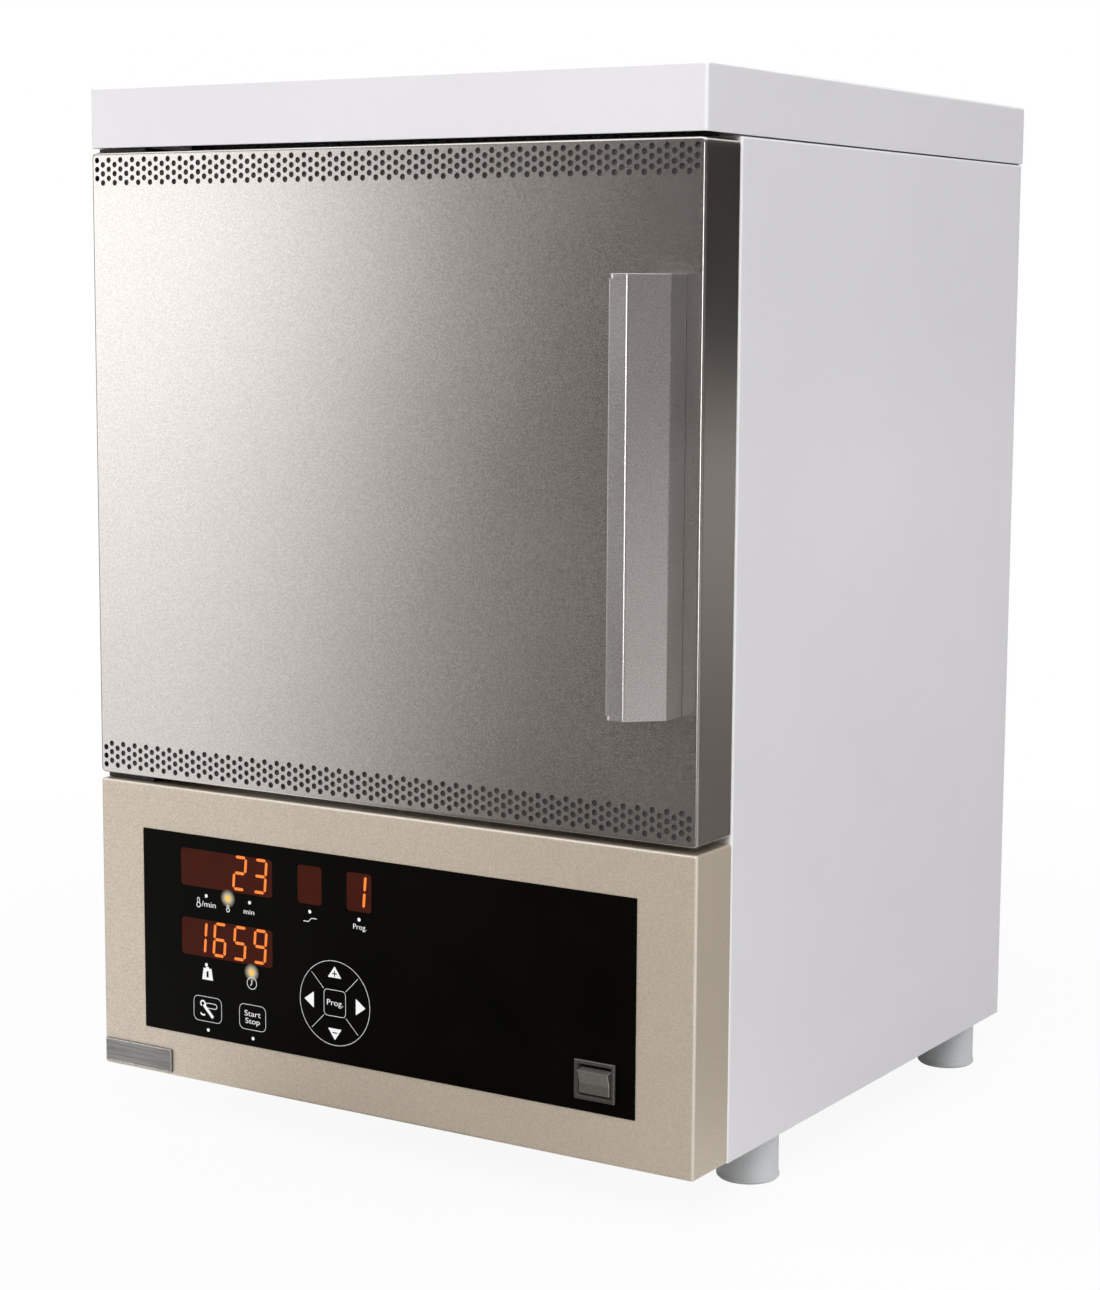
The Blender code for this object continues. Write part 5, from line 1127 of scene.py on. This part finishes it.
def makeRocker():
    # two faces meet in a shallow valley; the section is carried across and its ends are rounded
    low, high = boxes["power_rocker"][:, 0]
    axle = (boxes["switch_bezel"][0][1] + switch["pivot"], nodeMiddle("switch_bezel")[1])
    c, s, edge, end = math.cos(switch["tilt"]), math.sin(switch["tilt"]), switch["rockerEdge"], switch["pinReach"]
    lip, rise, back = -switch["pivot"] - switch["reach"] * s, switch["reach"] * c, switch["behind"]
    corners = [(-switch["pivot"], 0), (lip, -rise), (0, -rise), (back, -rise / 2), (back, rise / 2), (0, rise),
               (lip, rise)]
    section = fillet(corners, switch["rockerCorners"], 4, 0.05) @ np.array(((c, s), (-s, c))) + axle
    # painted highlight on the right end's rounded edge; its finish also paints shade on its lower half
    addPiece("switchRocker", plate(section, low + end, high - end, edge, 3, "X"), body="rocker", node="power_rocker",
             paintedHighlights={"x+": edge})
    pin = circle(axle, switch["pinRadius"], 24)
    pins = [plate(pin, *ends, 0.15, 2, "X") for ends in ((low, low + 2 * end), (high - 2 * end, high))]
    addPiece("rockerPins", pins, "rockerPlastic", "rocker")


# the badge's section from its side to its middle as insets and depths, and its rim
badge = {"section": ((0, 0.12), (0.06, 0.03), (0.15, 0), (0.55, 0), (0.7, 0.14), (1.0, 0.15)), "corner": 0.9,
         "rimInset": 0.55, "rimWidth": 0.5, "rimDepths": (-0.03, 0.1)}


def makeBadge():
    # a bare plate with a thin raised border
    (_, face, _), (_, back, _), _, size = boxOf("badge_plate")
    corner, inset = badge["corner"], badge["rimInset"]
    rows = [(0, back), *((inward, face + depth) for inward, depth in badge["section"])]
    rows = [(inward, y, max(corner - inward * 0.6, 0.3)) for inward, y in rows]
    addPiece("badgeShell", nestedBoxes("badge_plate", rows, 5), node="badge_plate")
    rim = roundedBox(nodeMiddle("badge_plate"), size[0] - 2 * inset, size[2] - 2 * inset, corner, 5)
    near, far = badge["rimDepths"]
    addPiece("badgeRim", hoop(rim, badge["rimWidth"], face + near, face + far), "screwSteel")


makeSwitchBezel()
makeRocker()
makeBadge()
print("switch and badge made")


# Pieces behind the skins: baffles, gap comb, screws, pins, plug, gasket, furnace parts and fan

inner = {
    "baffleGap": 1.7, "baffleSheet": 0.6, "baffleHeight": 17, "combPitch": 8.1, "combBar": 5.0,
    "combEnds": (-158, 186), "combHeight": 565.4, "combTall": 0.4, "headRadius": 3.2, "headRise": 1.15,
    "plugCorner": 6, "plugEdge": 3, "plugTaper": math.radians(18), "ropeWidth": 10, "ropeCorner": 16,
    "ropeStrands": 130, "ropeDepth": 0.16, "shank": 6, "hot": 3,
    # how far screws stand from an edge, from the upper and lower ends, and from the middle
    "doorScrews": (9, 34, 95), "sideScrews": (6, 22), "rearScrews": (9, 150), "fanScrews": 4.3,
    "inletScrews": 4.5, "inletHead": (2.5, 0.7),
}


def makeVentBaffles():
    # a dark sheet behind each perforated band
    low, high, _, size = boxOf("door_skin")
    near, height = low[1] + door["sheet"] + inner["baffleGap"], inner["baffleHeight"]
    for name, z in (("Bottom", low[2] + 3 + height / 2), ("Top", high[2] - 3 - height / 2)):
        outline = roundedBox((0, z), size[0] - 7, height, 1.5, 3)
        addPiece("ventBaffle" + name, plate(outline, near, near + inner["baffleSheet"], 0.15, 2), "ventPaint", "door")


def makeGapComb():
    # a notched strip on the front frame, seen through the gap below the lid, laid on a near-black strip that paints
    # the gap's shade
    face, (left, right) = boxes["front_frame"][0][1], inner["combEnds"]
    z, tall = inner["combHeight"], inner["combTall"]
    strip = rectangle(((left + right) / 2, z), right - left, tall + 2.6)
    addPiece("gapShadeStrip", plate(strip, face - 0.35, face - 0.05), "paintedShadeSteel")
    bars = [plate(rectangle((x, z), inner["combBar"], tall), face - 0.7, face - 0.36)
            for x in np.arange(left + 4, right - 4, inner["combPitch"])]
    addPiece("gapComb", bars, "ventPaint")


def screwHead(x, z, face, radius=inner["headRadius"], rise=inner["headRise"]):
    # a domed head; the rings of its recess swell with the cosine of four times the turn into a cross
    reach, height, swell = np.array((
        (0, 0.3, 0), (0.15, 0.3, 0.35), (0.27, 0.86, 0.42), (0.31, 0.97, 0.36), (0.64, 1.0, 0),
        (0.86, 0.8, 0), (0.97, 0.42, 0), (1, 0.05, 0), (1, 0, 0), (0, 0, 0))).T[..., None]
    turns = fullTurn(24)
    reach = (reach * radius * (1 + swell * np.cos(4 * turns)))[..., None]
    height = np.broadcast_to(face + rise * height[..., None], reach.shape)
    return loft(facing(np.concatenate((around(turns) * reach + (x, z), height), -1), "Y"), caps=False)


def makeScrews():
    for end in ("bottom", "top"):
        low, high, middle, size = boxOf("handle_screw_" + end)
        head, front, back = size[0] / 2, low[1], high[1]
        socket, shank, under = 1.8, 2.5, front + 3
        profile = roundedProfile([(0, front + socket), (socket, front + socket), (socket, front), (head, front),
                                  (head, under), (shank, under), (shank, back), (0, back)], 0.3)
        addPiece("handleScrew" + end.title(), turned(profile, middle * (1, 0, 1), "Y", 40), body="door",
                 node="handle_screw_" + end, weld=True)

    def heads(node, columns, rows, *form):
        # screws on a node's back face, at these columns and rows
        return [screwHead(x, z, boxes[node][1][1], *form) for x in columns for z in rows]

    def between(node, axis, inset, count=2):
        # places along an axis from one end of a node to the other, an inset in from both
        return np.linspace(boxes[node][0][axis] + inset, boxes[node][1][axis] - inset, count)

    edge, ends, apart = inner["doorScrews"]
    shapes = heads("door_back", between("door_back", 0, edge), between("door_back", 2, ends, 4))
    shapes += heads("door_back", (-apart, apart), between("door_back", 2, edge))
    addPiece("doorBackScrews", shapes, "screwSteel", "door", weld=True)

    # the side panels' rear folds, the rear panel's foot, the fan behind it and the mains inlet
    (edge, ends), (low, apart), inset = inner["sideScrews"], inner["rearScrews"], inner["fanScrews"]
    side = boxes["side_panel_right"][1][0] - edge
    shapes = heads("side_panel_right", (-side, side), between("side_panel_right", 2, ends, 5))
    shapes += heads("rear_panel", (-apart, 0, apart), (boxes["rear_panel"][0][2] + low,))
    shapes += heads("rear_panel", between("fan_housing", 0, inset), between("fan_housing", 2, inset))
    columns = between("mains_inlet", 0, inner["inletScrews"])
    shapes += heads("mains_inlet", columns, nodeMiddle("mains_inlet")[1:], *inner["inletHead"])
    addPiece("rearScrews", shapes, "screwSteel", weld=True)


def makeHingePins():
    for end in ("bottom", "top"):
        low, high, middle, size = boxOf("hinge_pin_" + end)
        radius, corner = size[0] / 2, ((0.5, 0), (0.15, 0.15), (0, 0.5))
        profile = [(0, low[2]), *((radius - inset, low[2] + rise) for inset, rise in corner),
                   *((radius - inset, high[2] - rise) for inset, rise in corner[::-1]), (0, high[2])]
        addPiece("hingePin" + end.title(), turned(profile, middle * (1, 1, 0), "Z", 48), node="hinge_pin_" + end,
                 weld=True)


def makePlug():
    # a fibre block that narrows into the chamber, with rounded edges and a shallow pressed panel in its end
    low, high = boxes["door_plug"][:, 1]
    slope, edge, corner = math.tan(inner["plugTaper"]), inner["plugEdge"], inner["plugCorner"]
    start = slope * (high - low - edge)
    rows = [(0, low), (start, high - edge)]
    rows += [(start + edge * (1 - math.cos(t)) + edge * slope * math.sin(t), high - edge + edge * math.sin(t))
             for t in np.linspace(0.25, quarter, 5)]
    rows += [(rows[-1][0] + step, high - drop) for step, drop in ((8, 0), (8.7, 0.3), (9.6, 1.1), (11, 1.4))]
    shape = nestedBoxes("door_plug", [(*row, corner) for row in rows])
    addPiece("doorPlugBlock", shape, body="door", node="door_plug")


def makeSealRope():
    # a flattened oval carried round a rounded rectangle; its size dips by the product of two sines that
    # run along the rope and, in opposite senses, round its section: the diamonds of a braid
    _, _, middle, size = boxOf("door_seal")
    wide, strands = inner["ropeWidth"], inner["ropeStrands"]
    outline = roundedBox(middle[[0, 2]], size[0] - wide, size[2] - wide, inner["ropeCorner"], 12)
    closed = np.vstack((outline, outline[:1]))
    run = np.concatenate(([0], np.cumsum(np.linalg.norm(np.diff(closed, axis=0), axis=1))))
    share = np.linspace(0, 1, 8 * strands + 1)[:, None]
    path = np.column_stack([np.interp(share[:, 0] * run[-1], run, closed[:, i]) for i in (0, 1)])
    ahead = np.roll(path[:-1], -2, 0) - np.roll(path[:-1], 2, 0)
    ahead = unit(np.vstack((ahead, ahead[:1])))
    turns, phase = fullTurn(20), math.pi * strands * share
    dip = 1 - inner["ropeDepth"] * (np.sin(phase + 2 * turns) * np.sin(phase - 2 * turns)) ** 2
    aside, deep = (dip * np.sign(wave) * np.abs(wave) ** 0.7 * reach / 2
                   for wave, reach in ((np.cos(turns), wide), (np.sin(turns), size[1])))
    rings = np.stack((path[:, :1] + ahead[:, 1:] * aside, path[:, 1:] - ahead[:, :1] * aside, middle[1] + deep), -1)
    addPiece("sealRope", loft(facing(rings, "Y"), caps=False), node="door_seal", smooth=180, weld=True)


def makeElements():
    # hairpins: two thick shanks that taper to a thin hot loop bent round a half circle, with clamps on top
    shank, hot, roof = inner["shank"], inner["hot"], boxes["insulation_roof"][0][2]
    for side in ("left", "right"):
        for end in ("front", "rear"):
            node = f"heating_element_{side}_{end}"
            low, high, (x, y, _), size = boxOf(node)
            top, bend = high[2], size[1] / 2 - shank
            leg = [(top, shank - 0.7), (top - 0.7, shank), (roof - 8, shank), (roof - 11, shank * 0.92),
                   (roof - 15, hot * 1.2), (roof - 18, hot)]
            turns = np.linspace(math.pi, 2 * math.pi, 25)
            path = [(x, y - bend, z) for z, _ in leg]
            path += [(x, y + bend * math.cos(t), low[2] + hot + bend + bend * math.sin(t)) for t in turns]
            path += [(x, y + bend, z) for z, _ in leg[::-1]]
            radii = [radius for _, radius in leg] + [hot] * len(turns) + [radius for _, radius in leg[::-1]]
            name = side.title() + end.title()
            addPiece("element" + name, tube(path, radii), node=node)
            ring = [(shank + out, top - drop) for out, drop in (
                (0.05, 6.5), (1.2, 6.5), (1.5, 6.2), (1.5, 2.3), (1.2, 2), (0.05, 2), (0.05, 6.5))]
            clamps = [turned(ring, (x, y + shift, 0), "Z", 32) for shift in (-bend, bend)]
            addPiece("clamps" + name, clamps, "sinkAluminium", weld=True)


def makeChamberParts():
    low, high, middle, size = boxOf("thermocouple")
    head, waist, seat, end = size[0] / 2, size[0] / 2 - 2.5, high[1] - 25, high[1]
    profile = roundedProfile([(0, low[1]), (4, low[1]), (4, seat), (head, seat), (head, seat + 9), (waist, seat + 9),
                              (waist, end - 8), (head, end - 8), (head, end), (0, end)], 0.8)
    addPiece("thermocoupleProbe", turned(profile, middle * (1, 0, 1), "Y", 48), node="thermocouple", weld=True)
    low, high, middle, size = boxOf("hearth_plate")
    outline = roundedBox(middle[:2], *size[:2], 3)
    addPiece("hearthSlab", plate(outline, low[2], high[2], 0.9, 4, "Z"), node="hearth_plate")


fan = {"bore": 37.5, "hub": 16, "tip": 35.4, "spider": 3, "strut": 4, "blades": 5, "chord": (8.2, 9.2),
       "pitch": (44, 30), "camber": 1.4, "skin": 0.55}


def makeFan():
    # frame: a rounded square ring round the bore, with a cross and a boss that carry the motor
    (_, near, _), (_, far, _), _, size = boxOf("fan_housing")
    middle, hub, deep = nodeMiddle("fan_housing"), fan["hub"], near + fan["spider"]
    square = roundedBox(middle, size[0], size[0], 4)
    edges = zip(square, np.roll(square, -1, 0))
    square = np.concatenate([a + (b - a) * np.linspace(0, 1, 9)[:-1, None] if np.linalg.norm(b - a) > 10 else a[None]
                             for a, b in edges])
    bore = middle + fan["bore"] * unit(square - middle)
    strut = roundedBox((0, 0), 2 * fan["bore"] + 0.4, fan["strut"], 0.6, 2)
    shapes = [stacked([(square, near), (square, far), (bore, far), (bore, near), (square, near)], caps=False)]
    shapes += [plate(strut[:, ::way] * (1, way) + middle, near, deep, 0.3, 2) for way in (1, -1)]
    shapes.append(plate(circle(middle, hub), near, deep, 0.5, 3))
    addPiece("fanFrame", shapes, node="fan_housing", weld=True)

    # rotor: the blades' pitch falls and their chord grows from hub to tip; each section bends like a
    # parabola and is wound round the axle
    near, far = boxes["fan_rotor"][:, 1]
    span, along = np.linspace(hub - 0.6, fan["tip"], 9)[:, None], np.linspace(-1, 1, 9)
    pitch, chord = (np.interp(span, span[[0, -1], 0], fan[name]) for name in ("pitch", "chord"))
    pitch, chord, rise = np.radians(pitch), chord * along, fan["camber"] * (1 - along ** 2)
    across = chord * np.cos(pitch) - rise * np.sin(pitch)
    deep = chord * np.sin(pitch) + rise * np.cos(pitch) - fan["camber"] / 2 + (near + far) / 2
    profile = roundedProfile([(0, near), (hub, near), (hub, far), (0, far)], 1.0)
    shapes = [turned(profile, (middle[0], 0, middle[1]), "Y", 64)]
    for start in fullTurn(fan["blades"]):
        flat = middle + span[..., None] * around(across / span + start)
        front, back = (np.concatenate((flat, (deep + skin)[..., None]), -1) for skin in (-fan["skin"], fan["skin"]))
        shapes.append(loft(facing(np.concatenate((front, back[:, ::-1]), 1), "Y")))
    addPiece("fanWheel", shapes, body="fan", node="fan_rotor", smooth=40, weld=True)


makeVentBaffles()
makeGapComb()
makeScrews()
makeHingePins()
makePlug()
makeSealRope()
makeElements()
makeChamberParts()
makeFan()
print("inner pieces made")
